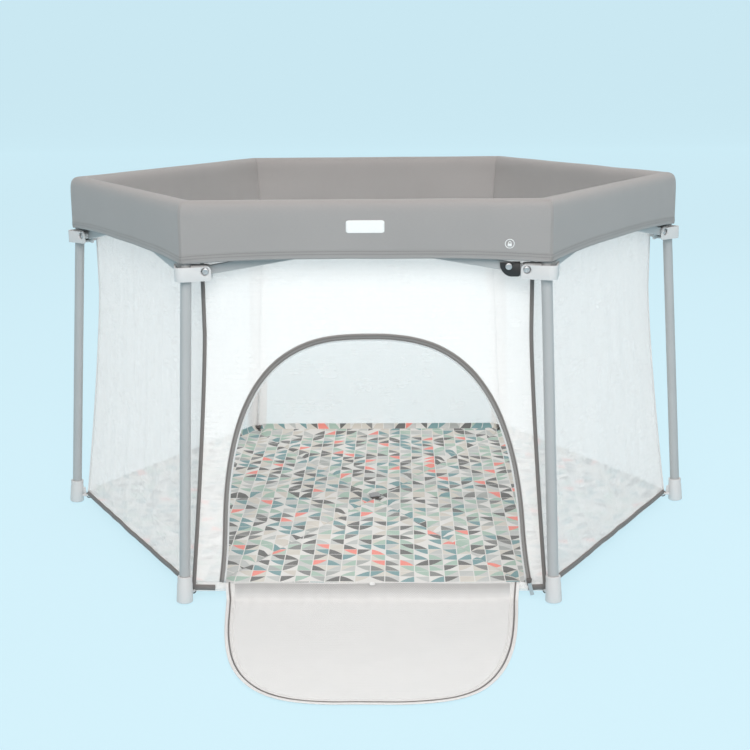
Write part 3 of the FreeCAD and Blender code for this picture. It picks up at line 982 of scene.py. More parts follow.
@dataclass
class Walls(Enclosure):
    """The mesh walls, with the doubled mesh along the corner seams, the edge piping and the floor binding."""

    rows: int = 44
    columns: int = 56
    seam_rows: int = 60
    strip_start: float = 0.0025
    strip_share: float = 0.034
    strip_lift: float = 0.0012
    dark_piping: float = 0.0035
    pale_piping: float = 0.0013
    binding: tuple[Uv, ...] = (
        (-0.0045, -0.0016), (0.0042, -0.0016), (0.0049, -0.0006), (0.0049, 0.0008),
        (0.0040, 0.0019), (-0.0038, 0.0019), (-0.0049, 0.0009), (-0.0050, -0.0008),
    )

    def build(self) -> None:
        """Builds every wall but the front one, and all the trims."""
        for i, side in enumerate(SIDES):
            if i != FRONT:
                self._wall(i, side)
            self._binding(i, side)
        for k, corner in enumerate(CORNERS):
            self._corner_seam(k, corner)

    def _wall(self, i: int, side: str) -> None:
        """One mesh wall.

        Args:
            i: the side.
            side: the side's name.
        """

        def place(a: float, b: float) -> tuple[Vector, Uv]:
            """A point of the wall and of its map."""
            z, t = mix(self.wall_low, self.wall_high, a), mix(self.edge_gap, 1 - self.edge_gap, b)
            return self.wall_point(i, t, z), (t * self.layout.ring, z)

        wall = net_of(f"mesh_wall_{side}", self.rows, self.columns, place)
        modify(wall, "SOLIDIFY", thickness=self.net_thickness, offset=0.0)
        self.settle(wall, "corner_" + CORNERS[i], Slot.MESH, self.finishes.net, ["side_walls"])
        self.gather(wall, i)

    def _corner_seam(self, k: int, corner: str) -> None:
        """A corner's piping or tape, and at the back the doubled mesh each side of it.

        Args:
            k: the corner.
            corner: the corner's name.
        """
        if corner.startswith("rear"):
            self._doubled_mesh(k, corner, False)
            self._doubled_mesh((k - 1) % 6, corner, True)
        dark = corner.startswith("front")
        low, high = self.wall_low + 0.003, self.wall_high - 0.004
        path = []
        for s in range(self.seam_rows + 1):
            z = mix(low, high, s / self.seam_rows)
            out = self.seam_ring(k, z) - self.layout.ring + 0.001
            path.append(self.layout.corner_frame(k) @ Vector((out, 0, z)))
        outwards = self.layout.corner(k).normalized()
        section = round_profile(self.dark_piping if dark else self.pale_piping)
        seam = sweep(f"corner_piping_{corner}", path, [outwards] * len(path), section)
        finish = self.finishes.taupe if dark else self.finishes.white_tape
        self.settle(seam, "corner_" + corner, Slot.MESH, finish)

    def _doubled_mesh(self, i: int, corner: str, at_end: bool) -> None:
        """The strip of doubled mesh at one end of a wall.

        Args:
            i: the wall's side.
            corner: the corner that it lies beside.
            at_end: whether that corner is the side's second one.
        """

        def place(a: float, b: float) -> tuple[Vector, Uv]:
            """A point of the strip and of its map.

            Args:
                a: the share across the rows of faces.
                b: the share across the columns of faces.

            Returns:
                The point and its place on the map.
            """
            z = mix(self.wall_low + 0.004, self.wall_high - 0.004, a)
            t = self.strip_start + self.strip_share * b
            t = 1 - t if at_end else t
            return self.wall_point(i, t, z, self.strip_lift), (t * self.layout.ring, z)

        strip = net_of(f"seam_mesh_{corner}_{SIDES[i]}", self.rows, 3, place, at_end)
        modify(strip, "SOLIDIFY", thickness=0.0005, offset=1.0)
        self.settle(strip, "corner_" + corner, Slot.MESH, self.finishes.dense_net)

    def _binding(self, i: int, side: str) -> None:
        """The folded tape along the foot of a wall, which stops at the doorway.

        Args:
            i: the side.
            side: the side's name.
        """
        way = self.layout.side_frame(i).to_3x3() @ Vector((0, -1, 0))
        spans = ((0.004, 0.062), (0.952, 0.996)) if i == FRONT else ((0.004, 0.996),)
        for part, (first, last) in enumerate(spans):
            path = []
            for s in range(49):
                t = mix(first, last, s / 48)
                lift = 0.0045 + 0.0012 * wander(4 * t + i, 0.0, 1.7, 0.3)
                path.append(self.wall_point(i, t, self.wall_low + 0.002) + Vector((0, 0, lift)))
            name = f"floor_binding_{side}" + ("", "_right")[part]
            tape = sweep(name, path, [way] * len(path), self.binding)
            self.settle(tape, "corner_" + CORNERS[i], Slot.MESH, self.finishes.taupe)
            self.gather(tape, i)


@dataclass
class Arch:
    """The door's outline, from one foot over the top to the other, measured from the middle of its foot."""

    half: float = 0.2591
    rise: float = 0.431
    foot: float = 0.029
    power: float = 2.7
    taper: float = 0.0
    flare: float = 0.034
    flare_height: float = 0.10
    lean: float = 0.009
    shift: float = 0.002

    def point(self, angle: float, share: float = 1.0) -> tuple[float, float]:
        """A point as (across, up), that share of the way to the outline.

        Args:
            angle: the direction from the foot's middle, 0 to the right.
            share: how far out towards the outline.

        Returns:
            The point as (across, up).
        """
        c, s = abs(math.cos(angle)), abs(math.sin(angle))
        r = share * ((c / self.half) ** self.power + (s / self.rise) ** self.power) ** (-1 / self.power)
        z = r * math.sin(angle)
        wide = 1 - self.taper * z / self.rise + self.flare * max(0.0, 1 - z / self.flare_height) ** 2
        return r * math.cos(angle) * wide + self.shift + self.lean * (1 - z / self.rise), z

    def line(self, steps: int, aside: float = 0.0) -> list[tuple[float, float]]:
        """Points along the outline, that far outside it, evenly spaced.

        Args:
            steps: how many stretches.
            aside: how far outside the outline.

        Returns:
            The points, from the right foot to the left.
        """
        fine = [self.point(math.pi * i / 900) for i in range(901)]
        lengths = [0.0]
        for a, b in zip(fine, fine[1:]):
            lengths.append(lengths[-1] + math.dist(a, b))
        line, j = [], 0
        for s in range(steps + 1):
            want = lengths[-1] * s / steps
            while j < len(fine) - 2 and lengths[j + 1] < want:
                j += 1
            f = (want - lengths[j]) / (lengths[j + 1] - lengths[j])
            (ax, az), (bx, bz) = fine[j], fine[j + 1]
            d = math.hypot(bx - ax, bz - az)
            line.append((mix(ax, bx, f) + aside * (bz - az) / d, mix(az, bz, f) - aside * (bx - ax) / d))
        return line

    def area(self) -> float:
        """The area inside the outline."""
        line = self.line(300)
        return abs(sum(a[0] * b[1] - b[0] * a[1] for a, b in zip(line, line[1:] + line[:1]))) / 2


@dataclass
class FrontWall(Enclosure):
    """The front wall round its arched doorway, with the zip's fixed half, its slider and the sill."""

    arch: Arch = field(default_factory=Arch)
    tape_width: float = 0.0095
    teeth: int = 420
    tooth: tuple[float, float, float] = (0.0011, 0.0007, 0.0007)

    def build(self) -> None:
        """Builds the wall, the zip and the sill."""
        self._wall()
        self._zip()
        self._slider()

    def _edge_point(self, x: float, z: float) -> tuple[float, float]:
        """Where the line from the doorway's foot through a point of its outline meets the wall's edge.

        Args:
            x: the outline point's distance from the middle.
            z: its height above the foot.

        Returns:
            The point on the edge, in the same two distances.
        """
        top, low, high = self.wall_high - self.arch.foot, 1.0001, 6.0
        for _ in range(40):
            k = (low + high) / 2
            share = self.share_of(FRONT, k * x, min(k * z, top) + self.arch.foot)
            inside = k * z < top and abs(share - 0.5) < 0.5 - self.edge_gap
            low, high = (k, high) if inside else (low, k)
        return low * x, low * z

    def surface(self, x: float, z: float, lift: float = 0.0) -> Vector:
        """A point on the front wall by its distance from the middle and its height."""
        return self.wall_point(FRONT, self.share_of(FRONT, x, z), z, lift)

    def _wall(self) -> None:
        """The mesh between the doorway and the wall's edges, and the sill's strip under the doorway."""
        steps = 190

        def place(a: float, b: float) -> tuple[Vector, Uv]:
            """A point between the doorway and the edge, and of its map.

            Args:
                a: the share across the rows of faces.
                b: the share across the columns of faces.

            Returns:
                The point and its place on the map.
            """
            ix, iz = self.arch.point(math.pi * b)
            ox, oz = self._edge_point(ix, iz)
            x, z = mix(ix, ox, a), self.arch.foot + mix(iz, oz, a)
            return self.surface(x, z), (x, z)

        def place_sill(a: float, b: float) -> tuple[Vector, Uv]:
            """A point of the strip under the doorway, and of its map."""
            t, z = mix(self.edge_gap, 1 - self.edge_gap, b), mix(self.wall_low, self.arch.foot, a)
            return self.wall_point(FRONT, t, z), (t * self.layout.ring, z)

        around_door = net_of("mesh_wall_front", 16, steps, place)
        wall = joined([around_door, net_of("sill", 3, 60, place_sill)], "mesh_wall_front")
        modify(wall, "SOLIDIFY", thickness=self.net_thickness, offset=0.0)
        self.settle(wall, "corner_" + CORNERS[FRONT], Slot.MESH, self.finishes.net, ["front_wall"])
        self.gather(wall, FRONT)
        width, height = self.layout.ring, self.wall_high - self.wall_low
        area = width * height * 0.975 - self.arch.area()

    def _strip(
        self, name: str, aside: float, half: float, low: float, high: float, material: Material
    ) -> None:
        """A band that follows the doorway on the wall.

        Args:
            name: the piece's name.
            aside: how far outside the doorway its middle lies.
            half: half of its width.
            low: its underside above the wall.
            high: its top above the wall.
            material: its finish.
        """
        line = self.arch.line(150, aside)
        path = [self.surface(x, z + self.arch.foot) for x, z in line]
        ups = [(self.surface(x, z + self.arch.foot, 0.01) - p).normalized() for (x, z), p in zip(line, path)]
        band = sweep(name, path, ups, flat_profile(-half, half, low, high))
        self.settle(band, "corner_" + CORNERS[FRONT], Slot.MESH, material)
        self.gather(band, FRONT)

    def _zip(self) -> None:
        """The fixed half of the zip: grey tape, its raised fold, the teeth and the white inner edge."""
        half = 0.5 * self.tape_width
        self._strip("door_zip_tape", half, half, 0.0004, 0.0014, self.finishes.tape)
        self._strip("door_zip_fold", 0.62 * self.tape_width, 0.0013, 0.0012, 0.0022, self.finishes.taupe)
        self._strip("door_edge_tape", -0.0014, 0.0017, -0.0007, 0.0009, self.finishes.white_tape)
        self._teeth("door_zip_teeth", 0.0006, 0.0016)

    def _teeth(self, name: str, aside: float, lift: float) -> None:
        """A row of zip teeth along the doorway.

        Args:
            name: the piece's name.
            aside: how far outside the doorway the row lies.
            lift: how far above the wall.
        """
        line = [(x, z + self.arch.foot) for x, z in self.arch.line(self.teeth, aside)]
        width, length, height = self.tooth
        ring = ((-1, -1), (1, -1), (1, 1), (-1, 1))
        box = ((0, 3, 2, 1), (4, 5, 6, 7), (0, 1, 5, 4), (1, 2, 6, 5), (2, 3, 7, 6), (3, 0, 4, 7))
        points, faces = [], []
        for a, b in zip(line, line[1:]):
            mid = ((a[0] + b[0]) / 2, (a[1] + b[1]) / 2)
            p = self.surface(*mid, lift)
            up = (self.surface(*mid, lift + 0.01) - p).normalized()
            along = (self.surface(*b) - self.surface(*a)).normalized()
            across = along.cross(up)
            start = len(points)
            for side, narrow in ((-1, 1.0), (1, 0.7)):
                for sx, sy in ring:
                    points.append(p + across * width * sx + along * length * sy * narrow + up * height * side)
            faces += [tuple(start + q for q in f) for f in box]
        row = new_piece(name, points, faces, [(p.x, p.z) for p in points])
        recalculate(row)
        self.settle(row, "corner_" + CORNERS[FRONT], Slot.ZIP, self.finishes.teeth)
        self.gather(row, FRONT)

    def _slider(self) -> None:
        """The zip's slider with its bridge and hanging pull, at the right foot of the doorway."""
        low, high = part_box("zip_slider")
        x, top = (low.x + high.x) / 2, high.z - 0.0065
        body = primitive("cube", size=1, location=(x, high.y - 0.0027, top), scale=(0.0096, 0.0038, 0.0125))
        edit_faces(body, lambda p: p.normal.y < -0.9)
        bpy.ops.mesh.inset(thickness=0.0012)
        bpy.ops.transform.translate(value=(0, -0.0007, 0))
        leave_edit()
        edit_faces(body, lambda p: p.normal.z < -0.9)
        bpy.ops.transform.resize(value=(0.7, 1, 1), center_override=(x, high.y, top))
        leave_edit()
        modify(body, "BEVEL", width=0.0008, segments=2)
        bridge = primitive("torus", major_radius=0.0030, minor_radius=0.0008, major_segments=18,
                           minor_segments=8, location=(x, low.y + 0.0034, top + 0.0010),
                           rotation=(0, math.radians(90), 0))
        slider = joined([body, bridge], "zip_slider_body")
        smooth_shade(slider, 35)
        self.settle(slider, "corner_front_left", Slot.ZIP, self.finishes.cord, ["zip_slider"])
        self.gather(slider, FRONT)
        middle = (x, low.y + 0.0012, top - 0.0125)
        pull = primitive("cube", size=1, location=middle, scale=(0.0068, 0.0014, 0.0230))
        edit_faces(pull, lambda p: abs(p.normal.y) > 0.9)
        bpy.ops.mesh.inset(thickness=0.0013)
        bpy.ops.transform.resize(value=(1, 0.3, 1), center_override=middle)
        leave_edit()
        edit_all(pull)
        bpy.ops.transform.rotate(value=math.radians(14), orient_axis="Y", center_override=(x, low.y, top))
        leave_edit()
        modify(pull, "BEVEL", width=0.0005, segments=2)
        pull.name = "zip_pull"
        smooth_shade(pull, 35)
        self.settle(pull, "corner_front_left", Slot.ZIP, self.finishes.steel)
        self.gather(pull, FRONT)


@dataclass
class DoorFlap(Assembly):
    """The unzipped door, which hangs over the sill and lies on the ground."""

    arch: Arch = field(
        default_factory=lambda: Arch(
            half=0.2585, rise=0.4300, power=3.8, taper=0.14, flare=0.0, lean=0.0, shift=0.006
        )
    )
    sill_y: float = -0.5400
    sill_z: float = 0.0290
    drop: float = 0.0300

    def point(self, x: float, d: float, lift: float = 0.0) -> Vector:
        """A point on the cloth by its distance from the middle and from the sill, or that far above it.

        Args:
            x: the distance from the middle.
            d: the distance from the sill along the cloth.
            lift: how far above the cloth.

        Returns:
            The point in the yard's frame.
        """
        ripple = math.sin(x * 215 + 4 * wander(x, 0, 2, 0.1))
        pleat = ripple * smooth(d / 0.012) * (1 - smooth((d - 0.05) / 0.09))
        lie = 0.0036 + 0.0017 * wander(x, d, 0.0, 0.11) + 0.0010 * wander(x, d, 4.0, 0.045) + 0.0009 * pleat
        fall = smooth(d / (1.6 * self.drop))
        y = self.sill_y - (d - 0.68 * self.drop * smooth(d / (1.5 * self.drop)))
        sag = 0.0016 * wander(x, 0.0, 6.0, 0.13) * (1 - fall)
        slope = Vector((0, -math.sin(math.pi * fall), 0.4 + fall)).normalized()
        z = mix(self.sill_z + sag, max(0.0020, lie), fall)
        return Vector((x, y - 0.0008 * pleat * (1 - fall), z)) + lift * slope

    def build(self) -> None:
        """Builds the mesh, its edge tape and the loose half of the zip."""

        def place(a: float, b: float) -> tuple[Vector, Uv]:
            """A point of the flap and of its map."""
            x, d = self.arch.point(math.pi * b, mix(0.02, 1.0, a))
            return self.point(x, d), (x, d)

        flap = net_of("door_flap_mesh", 56, 150, place, True)
        modify(flap, "SOLIDIFY", thickness=0.0008, offset=0.0)
        self.settle(flap, "door", Slot.MESH, self.finishes.flap_net, ["door_flap"])
        self.gather(flap, FRONT)
        round(self.arch.area(), 4)
        self._edge("door_flap_tape", -0.0022, 0.0030, 0.0005, 0.0013, self.finishes.white_tape)
        self._edge("door_flap_zip", -0.0060, 0.0016, 0.0006, 0.0019, self.finishes.teeth)
        self._edge("door_flap_hem", -0.0110, 0.0042, 0.0004, 0.0009, self.finishes.dense_net)

    def _edge(
        self, name: str, aside: float, half: float, low: float, high: float, material: Material
    ) -> None:
        """A band along the flap's edge.

        Args:
            name: the piece's name.
            aside: how far outside the flap's outline its middle lies.
            half: half of its width.
            low: its underside above the cloth.
            high: its top above the cloth.
            material: its finish.
        """
        line = self.arch.line(190, aside)
        path = [self.point(x, max(0.0, d)) for x, d in line]
        ups = [(self.point(x, max(0.0, d), 0.01) - p).normalized() for (x, d), p in zip(line, path)]
        band = sweep(name, path, ups, flat_profile(-half, half, low, high))
        self.settle(band, "door", Slot.MESH, material)
        self.gather(band, FRONT)


@dataclass
class Rim(Enclosure):
    """The padded cloth ring over the frame: skirt, rounded top and inner skirt, one panel for each side."""

    outer: float = 0.0165
    hem: float = 0.596
    columns: int = 96
    cloth: float = 0.0016
    lift: float = 0.008
    shoulder: tuple[Uv, ...] = (
        (0.0, 0.669), (0.0004, 0.679), (0.0012, 0.6865), (0.0030, 0.6922), (0.0062, 0.6962),
        (0.0105, 0.6984), (0.0165, 0.6995), (0.0230, 0.6992), (0.0285, 0.6975),
    )
    inner_top: Uv = (-0.0203, 0.6780)
    label_z: float = 0.6575
    sign_at: Uv = (0.2395, 0.6275)
    tack_z: float = 0.636

    def profile(self, i: int, t: float) -> list[tuple[float, float]]:
        """The section at a share along a side, from the outer hem over the top to the inner hem.

        Args:
            i: the side.
            t: the share of the way along it.

        Returns:
            The section's points as (out, z).
        """
        mid = 1 - abs(2 * t - 1) ** 3
        hem = self.hem + self.lift * mid
        inner_hem = 0.5975 + 0.002 * mid
        end = self.wall_out(i, t, inner_hem) - 0.0016
        out = self.outer
        turned = ((-0.0002, 0.0), (0.0004, 0.004), (0.0004, 0.010), (-0.0001, 0.014))
        shape = [(out + dx, hem + dz) for dx, dz in turned]
        shape += [(out + 0.0002 * mid, z) for z in (0.620, 0.632, 0.645, 0.658)]
        shape += [(out - inset, z) for inset, z in self.shoulder]
        shape += [(-0.0165, 0.6938), (-0.0192, 0.6875), self.inner_top]
        for s in (0.12, 0.26, 0.40, 0.55, 0.70, 0.85, 0.94, 1.0):
            z = mix(self.inner_top[1], inner_hem, s)
            shape.append((mix(self.inner_top[0], end, smooth(s)), z))
        return shape

    def build(self) -> None:
        """Builds the panels and the seams between them."""
        for i, side in enumerate(SIDES):
            self._panel(i, side)
        for k, corner in enumerate(CORNERS):
            self._seam(k, corner)
        self._label()
        self._lock_symbol()
        self._tacks()

    def crease(self, i: int, t: float, out: float, z: float, run: float) -> tuple[float, float]:
        """The cloth's small unevenness, as changes to (out, z).

        Args:
            i: the side.
            t: the share of the way along the side.
            out: the section point's distance outwards.
            z: the height.
            run: the distance along the section from the hem.

        Returns:
            The changes to out and to z.
        """
        side = self.layout.ring
        near = min(t, 1 - t) * side
        end = i if t < 0.5 else (i + 1) % 6
        drawn = math.exp(-near / 0.045) * 0.0010 * smooth(near / 0.012)
        dart = drawn * math.sin(2 * math.pi * (z / 0.019 + 0.37 * end))
        soft = 0.0011 * wander(t * side + 1.3 * i, run, 0.0, 0.10)
        soft += 0.0005 * wander(t * side, run, 7.0 + i, 0.030)
        fade = smooth(near / 0.02)
        outward = 1.0 if out > -0.004 else -1.0
        return outward * (dart + soft * fade) * 0.9, (0.0006 * wander(t * side, i, 3.0, 0.08)) * fade

    def _panel(self, i: int, side: str) -> None:
        """One side's panel.

        Args:
            i: the side.
            side: the side's name.
        """
        count = len(self.profile(i, 0.5)) - 1

        def place(a: float, t: float) -> tuple[Vector, Uv]:
            """A point of the panel and of its map.

            Args:
                a: the share across the rows of faces.
                t: the share across the columns of faces.

            Returns:
                The point and its place on the map.
            """
            shape = self.profile(i, t)
            j = round(a * count)
            run = sum(math.dist(shape[q], shape[q + 1]) for q in range(j))
            out, z = shape[j]
            d_out, d_z = self.crease(i, t, out, z, run)
            return self.layout.mitred(i, t, out + d_out, z + d_z), (t * self.layout.ring, run)

        panel = net_of(f"rim_{side}", count, self.columns, place, True)
        modify(panel, "SUBSURF", levels=1, render_levels=1)
        modify(panel, "SOLIDIFY", thickness=self.cloth, offset=-1.0)
        self.settle(panel, "corner_" + CORNERS[i], Slot.RIM, self.finishes.rim, ["rim_cover"])
        self.gather(panel, i)
        shape = self.profile(i, 0.5)

    def _seam(self, k: int, corner: str) -> None:
        """The welt where two panels meet.

        Args:
            k: the corner.
            corner: the corner's name.
        """
        shape = self.profile(k, 0.0)
        path, ups = [], []
        for j, (out, z) in enumerate(shape):
            path.append(self.layout.corner_frame(k) @ Vector((out / COS30, 0, z)))
            (a, b), (c, d) = shape[max(j - 1, 0)], shape[min(j + 1, len(shape) - 1)]
            normal = self.layout.corner_frame(k).to_3x3() @ Vector((d - b, 0, -(c - a) / COS30))
            ups.append(normal.normalized())
        welt = [around(2 * math.pi * q / 8, 0.0011, 0.0009) for q in range(8)]
        seam = sweep(f"rim_seam_{corner}", path, ups, welt)
        self.settle(seam, "corner_" + corner, Slot.RIM, self.finishes.rim)

    def _on_front(self, t: float, z: float, lift: float) -> Vector:
        """A point on the front panel's outer skirt."""
        d_out, _ = self.crease(FRONT, t, self.outer, z, z - self.hem - self.lift)
        return self.layout.mitred(FRONT, t, self.outer + d_out + lift, z)

    def _tacks(self) -> None:
        """The short bar of stitches beside each corner that holds the panels' overlap."""
        width = self.layout.ring + 2 * self.outer * TAN30
        for i, side in enumerate(SIDES):
            for end, t in (("first", 0.012), ("second", 0.988)):
                path = []
                for s in range(5):
                    x = t + (s - 2) * 0.0022 / width
                    d_out, _ = self.crease(i, x, self.outer, self.tack_z, 0.032)
                    path.append(self.layout.mitred(i, x, self.outer + d_out + 0.0004, self.tack_z))
                outwards = self.layout.side_frame(i).to_3x3() @ Vector((0, -1, 0))
                bar = flat_profile(-0.0007, 0.0007, -0.0004, 0.0005)
                tack = sweep(f"rim_tack_{side}_{end}", path, [outwards] * len(path), bar)
                self.settle(tack, "corner_" + CORNERS[(i + (t > 0.5)) % 6], Slot.RIM, self.finishes.taupe)

    def _label(self) -> None:
        """A plain woven label in the middle of the front panel."""
        half, rise, round_off = 0.032, 0.0105, 0.004

        def place(a: float, b: float) -> tuple[Vector, Uv]:
            """A point of the label and of its map.

            Args:
                a: the share across the rows of faces.
                b: the share across the columns of faces.

            Returns:
                The point and its place on the map.
            """
            z = mix(-rise, rise, a)
            over = max(0.0, abs(z) - rise + round_off)
            wide = half - round_off + math.sqrt(max(0.0, round_off**2 - over**2))
            x = mix(-wide, wide, b)
            t = 0.5 + x / (self.layout.ring + 2 * self.outer * TAN30)
            return self._on_front(t, self.label_z + z, 0.0014), (x + half, z + rise)

        label = net_of("plain_label", 24, 24, place)
        modify(label, "SOLIDIFY", thickness=0.0016, offset=0.0)
        self.settle(label, "corner_front_left", Slot.RIM, self.finishes.white_print)
        self.gather(label, FRONT)

    def _lock_symbol(self) -> None:
        """The small round lock sign near the latch: a ring with a padlock in it."""
        x0, z0 = self.sign_at
        ring = [around(2 * math.pi * q / 32, 0.0074) for q in range(33)]
        body = [(0.0, z) for z in (-0.0044, -0.0030, -0.0014, 0.0002)]
        bow = [(x, 0.0002 + z) for x, z in (around(math.pi * q / 12, 0.0022, 0.0036) for q in range(13))]
        parts = []
        for points, half in ((ring, 0.0006), (body, 0.0034), (bow, 0.0006)):
            path = []
            for x, z in points:
                t = 0.5 + (x0 + x) / (self.layout.ring + 2 * self.outer * TAN30)
                path.append(self._on_front(t, z0 + z, 0.0018))
            ups = [Vector((0, -1, 0))] * len(path)
            parts.append(sweep("sign_part", path, ups, flat_profile(-half, half, 0.0, 0.0005)))
        sign = joined(parts, "lock_sign")
        self.settle(sign, "corner_front_left", Slot.RIM, self.finishes.white_print)
        self.gather(sign, FRONT)


@dataclass
class FloorPad(Assembly):
    """The padded print floor: six sewn sectors, the patch in the middle and its pull tab."""

    ring: float = 0.6125
    steps: int = 44
    top: float = 0.0092
    low: float = 0.0008
    back_rise: float = 0.0135
    side_rise: float = 0.0070
    door_rise: float = 0.0020
    shrink: float = 0.9985
    tab_size: float = 0.0225

    def height(self, point: Vector, edge: float, seam: float) -> float:
        """The pad's top at a point.

        Args:
            point: the place.
            edge: its distance from the outer edge.
            seam: its distance from the nearest crease.

        Returns:
            The height.
        """
        puff = self.top + 0.0016 * smooth(edge / 0.05) + 0.0065 * (1 - smooth(edge / 0.035))
        groove = 0.0046 * math.exp(-((seam / 0.0075) ** 2))
        fold = 0.0022 * wander(point.x, point.y, 1.0, 0.17) + 0.0013 * wander(point.x, point.y, 5.0, 0.055)
        uneven = 0.4 + 0.6 * wander(point.x, point.y, 9.0, 0.12)
        ridge = 0.0030 * math.exp(-(((seam - 0.017) / 0.011) ** 2)) * uneven
        return puff - groove + fold * smooth(edge / 0.03) + ridge

    def build(self) -> None:
        """Builds the sectors, their turned-up edges, the patch and the tab."""
        for i, side in enumerate(SIDES):
            self._sector(i, side)
            self._edge(i, side)
        self._tab()

    def _edge(self, i: int, side: str) -> None:
        """The sector's edge, turned up against the wall: high at the back, low at the doorway.

        Args:
            i: the side.
            side: the side's name.
        """
        rise = self.back_rise if side.endswith("rear") else self.door_rise if i == FRONT else self.side_rise
        foot = self.layout.out_of_ring(self.ring) + 0.0025

        def place(a: float, b: float) -> tuple[Vector, Uv]:
            """A point of the turned-up edge and of its map.

            Args:
                a: the share across the rows of faces.
                b: the share across the columns of faces.

            Returns:
                The point and its place on the map.
            """
            t = mix(0.006, 0.994, b)
            up = rise * (1 + 0.10 * wander(4 * t, i, 2.0, 0.25)) * smooth(min(b, 1 - b) / 0.02)
            out = foot + 0.0035 * math.sin(a * math.pi / 2) - 0.0045 * (1 - a) ** 2
            z = self.top + 0.0050 + up * a
            return self.layout.mitred(i, t, out, z), (t * self.layout.ring + 0.0113, rise * a + 0.0272 * 3)

        edge = net_of(f"floor_edge_{side}", 8, 60, place)
        modify(edge, "SOLIDIFY", thickness=0.0016, offset=0.0)
        self.settle(edge, "floor_" + side, Slot.FLOOR, self.finishes.print_cloth)
        self.gather(edge, i)

    def _sector(self, i: int, side: str) -> None:
        """One sector, closed underneath.

        Args:
            i: the side.
            side: the side's name.
        """
        a = self.layout.corner(i) * (self.ring / self.layout.ring)
        b = self.layout.corner((i + 1) % 6) * (self.ring / self.layout.ring)
        n, hole = self.steps, 0.010 / self.ring
        index, points, uv, rows = {}, [], [], []
        apothem = self.ring * COS30
        centre = (a + b) / 3
        for r in range(n + 1):
            share = mix(hole, 1.0, r / n)
            width = max(2, r + 2)
            for c in range(width + 1):
                p = (a.lerp(b, c / width)) * share
                seam = min((p - p.project(a)).length, (p - p.project(b)).length)
                out = (self.layout.side_frame(i).inverted() @ p).y
                edge = max(0.0, apothem - (self.layout.ring * COS30 - out))
                index[r, c] = len(points)
                q = centre + (p - centre) * self.shrink
                points.append(Vector((q.x, q.y, self.height(p, edge, seam))))
                uv.append((p.x, p.y))
            rows.append(width)
        faces: list[tuple[int, ...]] = []
        for r in range(n):
            w0, w1 = rows[r], rows[r + 1]
            x, y = 0, 0
            while x < w0 or y < w1:
                if y < w1 and (x == w0 or (y + 1) / w1 <= (x + 1) / w0):
                    faces.append((index[r, x], index[r + 1, y], index[r + 1, y + 1]))
                    y += 1
                else:
                    faces.append((index[r, x], index[r + 1, y], index[r, x + 1]))
                    x += 1
        top = new_piece(f"floor_pad_{side}", points, faces, uv)
        edit_all(top)
        bpy.ops.mesh.extrude_region_move(TRANSFORM_OT_translate={"value": (0, 0, -0.001)})
        leave_edit()
        to_side = self.layout.side_frame(i).inverted()
        for v in top.data.vertices:
            if v.select:
                inward = (to_side @ v.co).y + self.layout.out_of_ring(self.ring)
                v.co.z = self.low + 0.0115 * (1 - smooth(inward / 0.03))
        recalculate(top)
        top.data.polygons.foreach_set("use_smooth", [True] * len(top.data.polygons))
        smooth_shade(top, 50)
        self.settle(top, "floor_" + side, Slot.FLOOR, self.finishes.print_cloth, ["floor_sector_" + side])
        self.gather(top, i)

    def _tab(self) -> None:
        """The square webbing tab, folded over and a little lifted at one edge."""
        size = self.tab_size

        def place(a: float, b: float) -> tuple[Vector, Uv]:
            """A point of the tab and of its map.

            Args:
                a: the share across the rows of faces.
                b: the share across the columns of faces.

            Returns:
                The point and its place on the map.
            """
            x, y = mix(-size / 2, size / 2, b), mix(-size / 2, size / 2, a)
            z = 0.0132 + 0.0022 * smooth(a) * b + 0.0006 * math.cos(6 * x / size)
            turned = Matrix.Rotation(math.radians(14), 4, "Z") @ Vector((x, y, z))
            return turned, (x + size / 2, y + size / 2)

        tab = net_of("centre_pull_tab", 8, 8, place)
        modify(tab, "SOLIDIFY", thickness=0.0018, offset=0.0)
        modify(tab, "BEVEL", width=0.0006, segments=2, limit_method="ANGLE")
        self.settle(tab, "floor_front", Slot.FLOOR, self.finishes.tab, ["centre_tab"])
        self.gather(tab, FRONT)
        patch = primitive("cylinder", vertices=40, radius=0.0092, depth=0.0105, location=(0, 0, 0.0060))
        edit_faces(patch, lambda p: p.normal.z > 0.9)
        bpy.ops.mesh.inset(thickness=0.0016)
        bpy.ops.transform.translate(value=(0, 0, 0.0009))
        leave_edit()
        modify(patch, "BEVEL", width=0.0005, segments=2, limit_method="ANGLE")
        self.settle(patch, "floor_front", Slot.FLOOR, self.finishes.taupe)
        patch.name = "centre_patch"
        self.gather(patch, FRONT)


